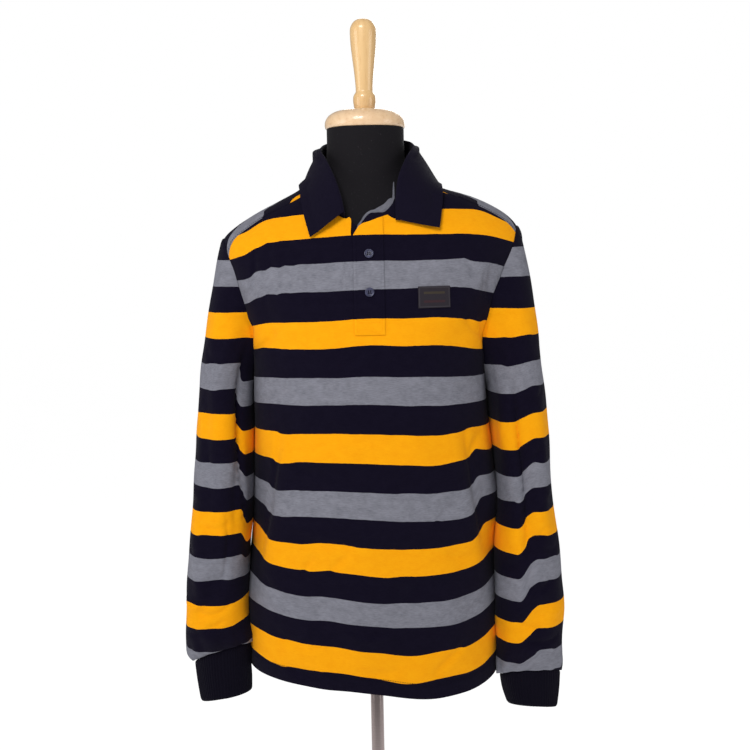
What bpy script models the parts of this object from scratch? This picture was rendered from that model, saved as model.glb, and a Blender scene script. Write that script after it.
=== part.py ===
"""Long-sleeved knit polo shirt on a limbless dress form with a wooden cap and a pole stand.

Metres, +Z up. The wearer's front faces -Y, so the wearer's right side is at -X. The origin is the
centre of the base's underside, on the floor. Every cloth piece is a thin wall whose inner points
come from short tables of sections, and whose outer points stand one wall further out.
"""
import math

import bmesh
import bpy
import numpy as np
from mathutils import Vector

# ---------------------------------------------------------------- driving sizes
WALL = 0.0014                # knit cloth
COLLAR_WALL = 0.0016         # flat-knit collar
CUFF_WALL = 0.0018           # double rib
TRIM_WALL = 0.0010           # placket strip, tape and badge
SEAM_GAP = 0.0003            # between pieces that are sewn together
SEAM_HALF_GAP = 0.0003       # from a shoulder seam's line to either panel
CLOTH_REST = 0.0013          # how far the cloth's smooth face lies off the form; facets come nearer
SLEEVE_REST = 0.0019         # how far the sleeve's edge lies off the panel it laps
HEM_HEIGHT = 0.778
UNDERARM_HEIGHT = 1.190
SQUARENESS = 2.4             # exponent of the shirt's rounded sections
FORM_SQUARENESS = 2.3

# Shirt sections: height, half width at -X, half width at +X, front depth, back depth, twist degrees
SHIRT_SECTIONS = np.array([
    (0.778, 0.184, 0.177, 0.133, 0.126, 5.0),
    (0.840, 0.187, 0.176, 0.134, 0.127, 4.5),
    (0.900, 0.185, 0.175, 0.134, 0.127, 4.0),
    (0.960, 0.177, 0.174, 0.133, 0.125, 3.0),
    (1.015, 0.171, 0.178, 0.133, 0.122, 2.0),
    (1.060, 0.169, 0.175, 0.133, 0.119, 1.5),
    (1.120, 0.166, 0.168, 0.132, 0.117, 1.0),
    (1.190, 0.164, 0.161, 0.131, 0.119, 0.0),
    (1.250, 0.167, 0.165, 0.129, 0.121, 0.0),
    (1.310, 0.180, 0.180, 0.121, 0.120, 0.0),
    (1.350, 0.194, 0.198, 0.111, 0.116, 0.0),
    (1.380, 0.203, 0.212, 0.100, 0.110, 0.0),
    (1.397, 0.199, 0.212, 0.093, 0.104, 0.0),
    (1.414, 0.180, 0.202, 0.084, 0.096, 0.0),
    (1.431, 0.152, 0.180, 0.074, 0.086, 0.0),
    (1.448, 0.118, 0.144, 0.066, 0.075, 0.0),
    (1.460, 0.095, 0.104, 0.061, 0.067, 0.0),
    (1.470, 0.082, 0.085, 0.0625, 0.0665, 0.0),
    (1.480, 0.0725, 0.0740, 0.0610, 0.0640, 0.0),
    (1.495, 0.0660, 0.0670, 0.0600, 0.0625, 0.0),
])

# Dress form sections: height, half width at -X, half width at +X, front depth, back depth, twist
FORM_SECTIONS = np.array([
    (0.836, 0.140, 0.140, 0.096, 0.094, 0.0),
    (0.850, 0.150, 0.150, 0.105, 0.103, 0.0),
    (0.910, 0.153, 0.153, 0.108, 0.110, 0.0),
    (0.985, 0.143, 0.143, 0.104, 0.100, 0.0),
    (1.060, 0.136, 0.136, 0.104, 0.093, 0.0),
    (1.140, 0.141, 0.141, 0.112, 0.097, 0.0),
    (1.220, 0.149, 0.149, 0.119, 0.106, 0.0),
    (1.280, 0.155, 0.155, 0.116, 0.112, 0.0),
    (1.330, 0.168, 0.168, 0.107, 0.110, 0.0),
    (1.365, 0.184, 0.186, 0.097, 0.105, 0.0),
    (1.385, 0.194, 0.197, 0.090, 0.101, 0.0),
    (1.397, 0.1930, 0.1965, 0.085, 0.097, 0.0),
    (1.414, 0.1745, 0.177, 0.077, 0.090, 0.0),
    (1.431, 0.1460, 0.148, 0.069, 0.081, 0.0),
    (1.448, 0.1130, 0.1140, 0.062, 0.070, 0.0),
    (1.460, 0.092, 0.091, 0.058, 0.063, 0.0),
    (1.470, 0.0765, 0.0765, 0.0565, 0.060, 0.0),
    (1.480, 0.0650, 0.0650, 0.0555, 0.0575, 0.0),
    (1.495, 0.0565, 0.0565, 0.0545, 0.0550, 0.0),
    (1.515, 0.0540, 0.0540, 0.0540, 0.0540, 0.0),
    (1.544, 0.0535, 0.0535, 0.0535, 0.0535, 0.0),
])

# Armhole of each side: middle height, half height, front reach, back reach,
# depth of the shoulder seam's outer end, angle round the section where that seam meets the neck
ARMHOLE = {
    -1: dict(middle=1.2925, half_height=0.1025, front=0.053, back=0.058, seam_depth=0.045),
    +1: dict(middle=1.2965, half_height=0.1085, front=0.052, back=0.058, seam_depth=0.036),
}
ARMHOLE_TOP_SQUARENESS = 3.6
ARMHOLE_LOW_SQUARENESS = 2.2
NECK_SEAM_ANGLE = 30.0       # degrees forward of the side, where the shoulder seam meets the neck

# Neckline: degrees round from the front's middle (the side at -X is below 0), height
NECKLINE = np.array([
    (-180.0, 1.489),
    (-135.0, 1.486),
    (-90.0, 1.478),
    (-51.0, 1.466),
    (-29.0, 1.450),
    (-14.0, 1.430),
    (-6.0, 1.4180),
    (0.0, 1.4090),
    (4.0, 1.4090),
    (8.0, 1.4180),
    (13.0, 1.431),
    (24.0, 1.450),
    (46.0, 1.466),
    (90.0, 1.478),
    (135.0, 1.486),
    (180.0, 1.489),
])

# Hem: place across, how much higher than the hem's own height it hangs
HEM_RISE = np.array([
    (-0.190, 0.018),
    (-0.140, 0.016),
    (-0.080, 0.011),
    (-0.030, 0.006),
    (0.010, 0.000),
    (0.060, -0.010),
    (0.100, -0.012),
    (0.150, -0.009),
    (0.190, -0.004),
])

# Grids of the body's panels: columns, and rows below and beside the armholes
PANEL_COLUMNS = 24
SEAM_SHARE = 7 / PANEL_COLUMNS   # share of the columns that end at each shoulder seam
FRONT_UNDER_ROWS = 15
FRONT_ARM_ROWS = 9
BACK_UNDER_ROWS = 14
BACK_ARM_ROWS = 11
SIDE_SEAM_SHIFT = 0.06           # degrees, half of the gap at the side seams

# Front folds: start x, start height, end x, end height, half width, rise (a trough is below 0)
FRONT_FOLDS = [
    (-0.140, 1.120, -0.168, 0.930, 0.014, -0.0055),
    (-0.118, 1.080, -0.146, 0.890, 0.018, 0.0040),
    (0.136, 1.120, 0.168, 0.925, 0.012, -0.0055),
    (0.118, 1.085, 0.146, 0.900, 0.018, 0.0042),
    (0.166, 1.350, 0.158, 1.300, 0.010, -0.0040),
    (-0.150, 1.330, -0.120, 1.250, 0.014, -0.0035),
    (0.150, 1.310, 0.110, 1.235, 0.016, -0.0030),
    (-0.080, 0.990, -0.060, 0.830, 0.022, -0.0035),
    (-0.020, 0.950, -0.010, 0.800, 0.024, 0.0035),
    (0.050, 0.980, 0.040, 0.820, 0.022, -0.0035),
    (0.100, 0.960, 0.110, 0.810, 0.020, 0.0030),
]

# Back folds, in the same columns
BACK_FOLDS = [
    (-0.130, 1.180, -0.060, 1.020, 0.016, -0.0060),
    (0.130, 1.170, 0.070, 1.010, 0.016, -0.0055),
    (-0.040, 1.120, -0.050, 0.830, 0.020, 0.0060),
    (0.045, 1.100, 0.060, 0.820, 0.020, 0.0060),
    (0.000, 1.060, 0.004, 0.800, 0.018, -0.0050),
    (-0.110, 0.980, -0.100, 0.800, 0.020, -0.0045),
    (0.115, 0.990, 0.110, 0.800, 0.020, -0.0045),
    (-0.150, 1.330, -0.120, 1.230, 0.014, -0.0040),
    (0.150, 1.330, 0.120, 1.230, 0.014, -0.0040),
]

# Sleeve sections at -X: height, outer x, inner x, half depth, middle depth
SLEEVE_RIGHT = np.array([
    (0.8000, 0.2580, 0.1764, 0.035, -0.052),
    (0.8090, 0.2645, 0.1778, 0.042, -0.052),
    (0.8300, 0.2672, 0.1810, 0.048, -0.052),
    (0.8976, 0.2642, 0.1830, 0.055, -0.050),
    (0.9443, 0.2607, 0.1802, 0.058, -0.045),
    (1.0093, 0.2543, 0.1747, 0.061, -0.035),
    (1.0750, 0.2490, 0.1717, 0.064, -0.023),
    (1.1420, 0.2445, 0.1696, 0.067, -0.012),
    (1.2005, 0.2393, 0.1685, 0.069, -0.004),
    (1.2600, 0.2300, 0.1720, 0.068, -0.000),
    (1.3100, 0.2225, 0.1770, 0.064, -0.000),
    (1.3600, 0.2150, 0.1820, 0.058, -0.000),
    (1.3980, 0.2080, 0.1880, 0.052, -0.000),
])

# Sleeve sections at +X, in the same columns
SLEEVE_LEFT = np.array([
    (0.7668, 0.2640, 0.1810, 0.034, -0.034),
    (0.7844, 0.2670, 0.1790, 0.043, -0.034),
    (0.8137, 0.2665, 0.1790, 0.049, -0.034),
    (0.8625, 0.2689, 0.1770, 0.054, -0.034),
    (0.9153, 0.2660, 0.1764, 0.057, -0.031),
    (0.9679, 0.2618, 0.1769, 0.059, -0.027),
    (1.0203, 0.2540, 0.1810, 0.061, -0.021),
    (1.0732, 0.2520, 0.1793, 0.064, -0.015),
    (1.1316, 0.2490, 0.1745, 0.067, -0.009),
    (1.1905, 0.2434, 0.1716, 0.069, -0.004),
    (1.2500, 0.2375, 0.1730, 0.068, -0.000),
    (1.3100, 0.2310, 0.1780, 0.064, -0.000),
    (1.3600, 0.2240, 0.1860, 0.058, -0.000),
    (1.4080, 0.2130, 0.1950, 0.050, -0.000),
])
SLEEVE_SQUARENESS = 2.3
SLEEVE_RINGS = 21
SLEEVE_HEAD_SHARE = 0.22     # share of the sleeve's length over which it leaves the armhole's line
DEGREE_WIDTH = 0.001         # metres of cloth that a degree round the sleeve stands for, in folds
SLEEVE_LAP = 0.0012          # how far the sleeve's edge laps onto the body's panels
CUFF_SEAM_TILT = {-1: (0.016, 0.015), +1: (-0.003, 0.017)}   # rise of the inner side and of the front
CUFF_MOUTH_TILT = {-1: (0.014, 0.005), +1: (0.006, 0.009)}

# Sleeve folds: start round the sleeve in degrees (0 outer side, 90 front), start height,
# end round the sleeve, end height, half width, rise
SLEEVE_FOLDS = {
    -1: [
        (128.0, 1.300, 122.0, 0.960, 0.011, -0.0065),
        (95.0, 1.290, 88.0, 1.060, 0.016, 0.0040),
        (60.0, 1.180, 78.0, 0.980, 0.014, -0.0035),
        (40.0, 1.000, 75.0, 0.880, 0.014, 0.0035),
        (110.0, 0.940, 60.0, 0.850, 0.014, -0.0045),
        (60.0, 0.850, 100.0, 0.810, 0.012, 0.0035),
        (250.0, 1.250, 262.0, 0.980, 0.014, -0.0060),
        (285.0, 1.100, 272.0, 0.900, 0.014, 0.0045),
        (240.0, 0.930, 290.0, 0.850, 0.014, -0.0045),
    ],
    +1: [
        (105.0, 1.180, 88.0, 0.900, 0.012, -0.0065),
        (60.0, 1.200, 62.0, 0.960, 0.015, 0.0040),
        (130.0, 1.240, 122.0, 1.020, 0.014, 0.0035),
        (120.0, 0.980, 70.0, 0.880, 0.014, 0.0040),
        (60.0, 0.880, 110.0, 0.830, 0.013, -0.0045),
        (110.0, 0.810, 60.0, 0.785, 0.011, 0.0035),
        (250.0, 1.230, 265.0, 0.960, 0.014, -0.0060),
        (285.0, 1.080, 275.0, 0.890, 0.014, 0.0045),
        (240.0, 0.900, 290.0, 0.830, 0.014, -0.0045),
    ],
}

# Cuffs: height, outer x, inner x, half depth, middle depth
CUFF_RIGHT = np.array([
    (0.7431, 0.2503, 0.1798, 0.031, -0.052),
    (0.7730, 0.2537, 0.1788, 0.032, -0.052),
    (0.7997, 0.2565, 0.1764, 0.034, -0.052),
])
CUFF_LEFT = np.array([
    (0.7141, 0.2596, 0.1912, 0.031, -0.034),
    (0.7404, 0.2621, 0.1849, 0.032, -0.034),
    (0.7665, 0.2640, 0.1810, 0.034, -0.034),
])

# Collar: share of the way from an end round to the back's middle, then the fold line's x, y and
# height and the leaf edge's x, y and height, for the side at +X and for the side at -X
COLLAR_LEFT = np.array([
    (0.00, 0.0400, -0.0880, 1.4230, 0.0960, -0.0870, 1.4040),
    (0.12, 0.0400, -0.0830, 1.4480, 0.1000, -0.0690, 1.4300),
    (0.25, 0.0440, -0.0740, 1.4720, 0.1020, -0.0440, 1.4560),
    (0.42, 0.0560, -0.0480, 1.5000, 0.1020, -0.0080, 1.4660),
    (0.60, 0.0660, -0.0100, 1.5170, 0.0960, 0.0300, 1.4720),
    (0.78, 0.0560, 0.0340, 1.5280, 0.0700, 0.0580, 1.4780),
    (0.90, 0.0300, 0.0560, 1.5330, 0.0370, 0.0710, 1.4820),
    (1.00, 0.0000, 0.0620, 1.5350, 0.0000, 0.0760, 1.4840),
])
COLLAR_RIGHT = np.array([
    (0.00, 0.0300, -0.0880, 1.4280, 0.0750, -0.0940, 1.3950),
    (0.12, 0.0340, -0.0830, 1.4480, 0.0835, -0.0720, 1.4260),
    (0.25, 0.0410, -0.0740, 1.4700, 0.0880, -0.0440, 1.4540),
    (0.42, 0.0530, -0.0480, 1.4970, 0.0890, -0.0080, 1.4660),
    (0.60, 0.0620, -0.0090, 1.5140, 0.0850, 0.0300, 1.4720),
    (0.78, 0.0540, 0.0350, 1.5260, 0.0660, 0.0580, 1.4780),
    (0.90, 0.0300, 0.0560, 1.5330, 0.0370, 0.0710, 1.4820),
    (1.00, 0.0000, 0.0620, 1.5350, 0.0000, 0.0760, 1.4840),
])
COLLAR_FOLD_RADIUS = 0.0008
COLLAR_REST = 0.0050         # how far the leaf lies off the panels below it
COLLAR_BULGE = 0.0030        # how far the leaf's middle stands out
STAND_FOOT_RISE = 0.0012     # the stand's foot above the neckline's edge
STAND_FOOT_INSET = 0.0026    # the stand's foot inside the neckline, where the panel's edge is straight
COLLAR_ENDS_ANGLE = {-1: 6.9, +1: 8.7}   # degrees from the front's middle where the stand ends

# Placket, its facing, buttons, badge and tape
PLACKET_OVER = dict(left=-0.0185, right=0.0215, bottom=1.268, top_left=1.3990, top_right=1.4110)
PLACKET_UNDER = dict(left=-0.0262, right=-0.0192, bottom=1.3700, top_left=1.4090, top_right=1.4070)
STRIP_REST = 0.0007          # how far a strip lies off the panel; the panel's facets come nearer

# Front end of the neck band, inside the neckline, and the placket's facing rolled open above it:
# x, bottom height, top height, distance in front of the form at the bottom and at the top
NECK_BAND = np.array([
    (-0.0080, 1.4040, 1.4125, 0.0046, 0.0056),
    (0.0020, 1.4050, 1.4155, 0.0046, 0.0058),
    (0.0120, 1.4080, 1.4200, 0.0046, 0.0058),
    (0.0220, 1.4120, 1.4250, 0.0044, 0.0056),
    (0.0310, 1.4160, 1.4290, 0.0042, 0.0052),
])
PLACKET_FACING = np.array([
    (-0.0150, 1.3990, 1.4060, 0.0032, 0.0034),
    (-0.0080, 1.4060, 1.4160, 0.0033, 0.0038),
    (0.0000, 1.4075, 1.4235, 0.0033, 0.0042),
    (0.0080, 1.4100, 1.4300, 0.0033, 0.0044),
    (0.0160, 1.4130, 1.4335, 0.0032, 0.0044),
    (0.0240, 1.4170, 1.4355, 0.0031, 0.0042),
    (0.0310, 1.4220, 1.4420, 0.0030, 0.0036),
])
BUTTON_HEIGHTS = (1.372, 1.323)
BUTTON_X = 0.002
BUTTON_RADIUS = 0.0062
BUTTON_THICKNESS = 0.0024
BADGE = dict(left=0.065, right=0.107, bottom=1.301, top_left=1.329, top_right=1.329)

# Stand
POLE_RADIUS = 0.0095
BASE_RADIUS = 0.150
BASE_THICKNESS = 0.014
NECK_TOP = 1.544

COLOURS = {
    "navy": (0.012, 0.010, 0.026, 1.0),
    "orange": (0.95, 0.42, 0.02, 1.0),
    "grey": (0.22, 0.225, 0.26, 1.0),
    "form_black": (0.018, 0.017, 0.020, 1.0),
    "wood": (0.76, 0.53, 0.29, 1.0),
    "steel": (0.55, 0.55, 0.56, 1.0),
    "button": (0.06, 0.06, 0.14, 1.0),
    "badge": (0.03, 0.02, 0.03, 1.0),
}


# ---------------------------------------------------------------- tables and curves
def smooth_column(table, column, at):
    """A table column as a smooth curve over its first column: cubic, with mean chord slopes."""
    stations = table[:, 0]
    values = table[:, column]
    chords = np.diff(values) / np.diff(stations)
    slopes = np.concatenate([chords[:1], (chords[1:] + chords[:-1]) / 2, chords[-1:]])
    low = np.clip(np.searchsorted(stations, at) - 1, 0, len(stations) - 2)
    step = stations[low + 1] - stations[low]
    share = np.clip((at - stations[low]) / step, 0.0, 1.0)
    rest = 1.0 - share
    return (values[low] * (1 + 2 * share) * rest ** 2
            + slopes[low] * step * share * rest ** 2
            + values[low + 1] * (3 - 2 * share) * share ** 2
            - slopes[low + 1] * step * share ** 2 * rest)


def signed_power(value, exponent):
    """The value's size to a power, with its sign kept."""
    return np.sign(value) * np.abs(value) ** exponent


def unit(vectors):
    """Each vector at length one."""
    return vectors / np.maximum(np.linalg.norm(vectors, axis=-1, keepdims=True), 1e-12)


def turned(x, y, degrees):
    """Points turned about the upright axis."""
    angle = np.radians(degrees)
    return x * np.cos(angle) - y * np.sin(angle), x * np.sin(angle) + y * np.cos(angle)


# ---------------------------------------------------------------- sections as surfaces
def section_point(table, squareness, angle, height):
    """The point of a stack of rounded sections at an angle (degrees, 270 in front) and a height."""
    angle = np.radians(angle)
    height = np.asarray(height, dtype=float) + 0.0 * angle
    half = np.where(np.cos(angle) < 0, smooth_column(table, 1, height), smooth_column(table, 2, height))
    depth = np.where(np.sin(angle) < 0, smooth_column(table, 3, height), smooth_column(table, 4, height))
    x = half * signed_power(np.cos(angle), 2 / squareness)
    y = depth * signed_power(np.sin(angle), 2 / squareness)
    x, y = turned(x, y, smooth_column(table, 5, height))
    return np.stack([x, y, height], axis=-1)


def section_level(table, squareness, points):
    """1 on the stack of sections, less inside it and more outside it."""
    height = points[..., 2]
    x, y = turned(points[..., 0], points[..., 1], -smooth_column(table, 5, height))
    half = np.where(x < 0, smooth_column(table, 1, height), smooth_column(table, 2, height))
    depth = np.where(y < 0, smooth_column(table, 3, height), smooth_column(table, 4, height))
    return ((np.abs(x) / half) ** squareness + (np.abs(y) / depth) ** squareness) ** (1 / squareness)


def section_slope(table, squareness, points):
    """The gradient of section_level, by small steps along each axis."""
    step = 1e-4
    columns = []
    for axis in range(3):
        shift = np.zeros(3)
        shift[axis] = step
        ahead = section_level(table, squareness, points + shift)
        behind = section_level(table, squareness, points - shift)
        columns.append((ahead - behind) / (2 * step))
    return np.stack(columns, axis=-1)


def held_clear(points, table, squareness, margin):
    """Points moved straight out of a stack of sections until they clear it by the margin."""
    points = np.array(points, dtype=float)
    for _ in range(4):
        slope = section_slope(table, squareness, points)
        steepness = np.linalg.norm(slope, axis=-1)
        distance = (section_level(table, squareness, points) - 1) / steepness
        push = np.maximum(margin - distance, 0.0)
        points = points + (push / steepness)[..., None] * slope
    return points


def fold_rise(folds, across, height):
    """Soft ridges and troughs: each is a bell across its line, fading out at the line's ends."""
    rise = np.zeros(np.broadcast(across, height).shape)
    for start_across, start_height, end_across, end_height, half_width, size in folds:
        line = np.array([end_across - start_across, end_height - start_height])
        length = np.hypot(*line)
        line = line / length
        along = (across - start_across) * line[0] + (height - start_height) * line[1]
        aside = (across - start_across) * line[1] - (height - start_height) * line[0]
        share = np.clip(along / length, -0.25, 1.25)
        fade = np.cos(np.clip(np.abs(share - 0.5) / 0.75, 0.0, 1.0) * math.pi / 2) ** 2
        rise = rise + size * fade * np.exp(-(aside / half_width) ** 2)
    return rise


def shirt_surface(angle, height, lift=0.0):
    """The body cloth's inner face, with its folds, held clear of the dress form, plus a lift."""
    base = section_point(SHIRT_SECTIONS, SQUARENESS, angle, height)
    outward = unit(section_slope(SHIRT_SECTIONS, SQUARENESS, base))
    front = base[..., 1] < 0
    across = base[..., 0]
    rise = np.where(front, fold_rise(FRONT_FOLDS, across, base[..., 2]),
                    fold_rise(BACK_FOLDS, across, base[..., 2]))
    side_fade = np.clip(np.abs(base[..., 1]) / 0.05, 0.0, 1.0) ** 2
    base = base + (rise * side_fade)[..., None] * outward
    base = held_clear(base, FORM_SECTIONS, FORM_SQUARENESS, CLOTH_REST)
    return base + lift * outward, outward


def front_angle(x, height):
    """The angle at which the front's section reaches a place x across."""
    half = np.where(x < 0, smooth_column(SHIRT_SECTIONS, 1, height), smooth_column(SHIRT_SECTIONS, 2, height))
    return 360.0 - np.degrees(np.arccos(signed_power(x / half, SQUARENESS / 2)))


def side_angle(side, depth_toward_back, height):
    """The angle of the section's point at a depth, on the side at +X (side 1) or -X (side -1)."""
    reach = np.where(depth_toward_back < 0, smooth_column(SHIRT_SECTIONS, 3, height),
                     smooth_column(SHIRT_SECTIONS, 4, height))
    lean = np.degrees(np.arcsin(np.clip(signed_power(depth_toward_back / reach, SQUARENESS / 2), -1, 1)))
    return lean if side > 0 else 180.0 - lean


# ---------------------------------------------------------------- armholes and the neckline
def armhole_chart(side, turn, grow=0.0):
    """The armhole loop in angle and height. Turn is in degrees: 0 top, 90 front, 180 underarm.

    In side view the loop is a rounded rectangle above its middle and an oval below it.
    """
    sizes = ARMHOLE[side]
    turn = np.radians(turn)
    upper = np.cos(turn) > 0
    squareness = np.where(upper, ARMHOLE_TOP_SQUARENESS, ARMHOLE_LOW_SQUARENESS)
    reach = np.where(np.sin(turn) > 0, sizes["front"], sizes["back"]) + grow
    depth = -reach * np.sign(np.sin(turn)) * np.abs(np.sin(turn)) ** (2 / squareness)
    rise = np.sign(np.cos(turn)) * np.abs(np.cos(turn)) ** (2 / squareness)
    height = sizes["middle"] + (sizes["half_height"] + grow) * rise
    return side_angle(side, depth, height), height


def seam_turn(side):
    """Where on the armhole loop, in degrees, the shoulder seam ends: at its depth in front."""
    sizes = ARMHOLE[side]
    share = (sizes["seam_depth"] / sizes["front"]) ** (ARMHOLE_TOP_SQUARENESS / 2)
    return math.degrees(math.asin(share))


def neck_height(angle):
    """The neckline's height at an angle round the section."""
    from_front = (np.asarray(angle) - 270.0 + 180.0) % 360.0 - 180.0
    return smooth_column(NECKLINE, 1, from_front)


def armhole_turns(side, back, segments):
    """Turns at even distances round the armhole, from the underarm to the shoulder seam's end."""
    end = 360.0 + seam_turn(side) if back else seam_turn(side)
    turns = np.linspace(180.0, end, 241)
    angle, height = armhole_chart(side, turns)
    place = section_point(SHIRT_SECTIONS, SQUARENESS, angle, height)
    run = np.concatenate([[0.0], np.cumsum(np.linalg.norm(np.diff(place, axis=0), axis=1))])
    return np.interp(np.linspace(0.0, run[-1], segments + 1), run, turns)


def hem_height(angle):
    """The hem's height at an angle round the section: it hangs a little lower at +X."""
    place = section_point(SHIRT_SECTIONS, SQUARENESS, angle, HEM_HEIGHT)
    return HEM_HEIGHT + smooth_column(HEM_RISE, 1, place[..., 0])


def panel_side(side, back, angle, under_rows, arm_rows):
    """A panel's side edge: up the side seam at an angle, then round the armhole to the seam."""
    height = np.linspace(hem_height(angle), UNDERARM_HEIGHT, under_rows + 1)[:-1]
    below = np.stack([np.full_like(height, angle), height], axis=-1)
    loop_angle, loop_height = armhole_chart(side, armhole_turns(side, back, arm_rows))
    if side > 0 and not back:
        loop_angle = loop_angle + 360.0
    loop_angle[0] = angle
    return np.concatenate([below, np.stack([loop_angle, loop_height], axis=-1)])


def shoulder_seam(side, shares, back):
    """The shoulder seam in angle and height, from the armhole (0) to the neckline (1)."""
    start_angle, start_height = armhole_chart(side, seam_turn(side))
    end_angle = 360.0 - NECK_SEAM_ANGLE if side > 0 else 180.0 + NECK_SEAM_ANGLE
    if side > 0:
        start_angle = start_angle + 360.0
    end_height = neck_height(end_angle)
    bow = 0.012 * np.sin(math.pi * shares)
    angle = start_angle + (end_angle - start_angle) * shares
    height = start_height + (end_height - start_height) * shares + bow
    if back and side > 0:
        angle = angle - 360.0
    return np.stack([angle, height], axis=-1)


def steady_heights(edge, under_rows):
    """A side edge whose heights rise evenly beside the armhole's upper half."""
    steady = edge.copy()
    middle = (under_rows + len(edge)) // 2
    steady[middle:, 1] = np.linspace(edge[middle, 1], edge[-1, 1], len(edge) - middle)
    return steady


def filled_patch(bottom, top, left, right, under_rows, lags):
    """A grid in angle and height between four edges, each blended across to the one facing it.

    The rows take on the top's angles and heights by two powers of the way up, the lags, so that
    the back's rows pass behind the armholes before they turn forward over the shoulders.

    Beside the armholes, what an edge's heights differ from a steady rise fades out toward the
    neckline's columns, so that no row passes above the panel's top.
    """
    u = np.linspace(0, 1, len(bottom))[None, :, None]
    v = np.linspace(0, 1, len(left))[:, None, None]
    calm_left = steady_heights(left, under_rows)
    calm_right = steady_heights(right, under_rows)
    across = (1 - u) * calm_left[:, None] + u * calm_right[:, None]
    lower = (1 - v) * (bottom - (1 - u) * bottom[0] - u * bottom[-1])
    upper = v ** np.array(lags) * (top - (1 - u) * top[0] - u * top[-1])
    near_left = np.clip(1 - u / SEAM_SHARE, 0, 1)
    near_right = np.clip(1 - (1 - u) / SEAM_SHARE, 0, 1)
    return (across + lower + upper + near_left * (left - calm_left)[:, None]
            + near_right * (right - calm_right)[:, None])


def neck_angles(start, end, shares):
    """Angles at shares of the neckline's length between two of its angles."""
    fine = np.linspace(start, end, 361)
    place = section_point(SHIRT_SECTIONS, SQUARENESS, fine, neck_height(fine))
    run = np.concatenate([[0.0], np.cumsum(np.linalg.norm(np.diff(place, axis=0), axis=1))])
    return np.interp(np.asarray(shares) * run[-1], run, fine)


def front_chart():
    """The front panel's grid in angle and height, from -X round to +X."""
    left = panel_side(-1, False, 180.0 + SIDE_SEAM_SHIFT, FRONT_UNDER_ROWS, FRONT_ARM_ROWS)
    right = panel_side(1, False, 360.0 - SIDE_SEAM_SHIFT, FRONT_UNDER_ROWS, FRONT_ARM_ROWS)
    u = np.linspace(0, 1, PANEL_COLUMNS + 1)
    bottom = left[0] + (right[0] - left[0]) * u[:, None]
    bottom[:, 1] = hem_height(bottom[:, 0])
    top = panel_top(u, False)
    left[-1] = top[0]
    right[-1] = top[-1]
    return filled_patch(bottom, top, left, right, FRONT_UNDER_ROWS, (1.0, 2.2))


def back_chart():
    """The back panel's grid in angle and height, from +X round to -X."""
    right = panel_side(1, True, SIDE_SEAM_SHIFT, BACK_UNDER_ROWS, BACK_ARM_ROWS)
    left = panel_side(-1, True, 180.0 - SIDE_SEAM_SHIFT, BACK_UNDER_ROWS, BACK_ARM_ROWS)
    u = np.linspace(0, 1, PANEL_COLUMNS + 1)
    bottom = right[0] + (left[0] - right[0]) * u[:, None]
    bottom[:, 1] = hem_height(bottom[:, 0])
    top = panel_top(u, True)
    right[-1] = top[0]
    left[-1] = top[-1]
    return filled_patch(bottom, top, right, left, BACK_UNDER_ROWS, (5.0, 2.0))


def panel_top(u, back):
    """A panel's top edge: up one shoulder seam, along the neckline, down the other seam."""
    first, last = (1, -1) if back else (-1, 1)
    start = shoulder_seam(first, np.clip(u / SEAM_SHARE, 0, 1), back)
    end = shoulder_seam(last, np.clip((1 - u) / SEAM_SHARE, 0, 1), back)
    middle_share = np.clip((u - SEAM_SHARE) / (1 - 2 * SEAM_SHARE), 0, 1)
    seam_columns = round(SEAM_SHARE * (len(u) - 1))
    angle = neck_angles(start[seam_columns, 0], end[-1 - seam_columns, 0], middle_share)
    middle = np.stack([angle, neck_height(angle)], axis=-1)
    top = np.where((u <= SEAM_SHARE)[:, None], start, middle)
    top = np.where((u >= 1 - SEAM_SHARE)[:, None], end, top)
    on_seam = (u <= SEAM_SHARE) | (u >= 1 - SEAM_SHARE)
    toward_front = np.where(u < 0.5, -first, -last)
    shift = SEAM_HALF_GAP / degree_length(top) * np.where(back, -toward_front, toward_front)
    top[:, 0] = top[:, 0] + np.where(on_seam, shift, 0.0)
    return top


def degree_length(chart):
    """Metres of the shirt's surface per degree round its section, at points of a chart."""
    here = section_point(SHIRT_SECTIONS, SQUARENESS, chart[..., 0], chart[..., 1])
    ahead = section_point(SHIRT_SECTIONS, SQUARENESS, chart[..., 0] + 0.1, chart[..., 1])
    return np.linalg.norm(ahead - here, axis=-1) / 0.1


# ---------------------------------------------------------------- meshes
def new_material(name, colour, roughness, metallic=0.0):
    """A plain material with one colour."""
    material = bpy.data.materials.new(name)
    material.use_nodes = True
    shader = material.node_tree.nodes["Principled BSDF"]
    shader.inputs["Base Color"].default_value = colour
    shader.inputs["Roughness"].default_value = roughness
    shader.inputs["Metallic"].default_value = metallic
    material.diffuse_color = colour
    return material


def new_object(name, mesh, material):
    """An object in the part's collection with one material."""
    piece = bpy.data.objects.new(name, mesh)
    mesh.materials.append(material)
    PART.objects.link(piece)
    return piece


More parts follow.
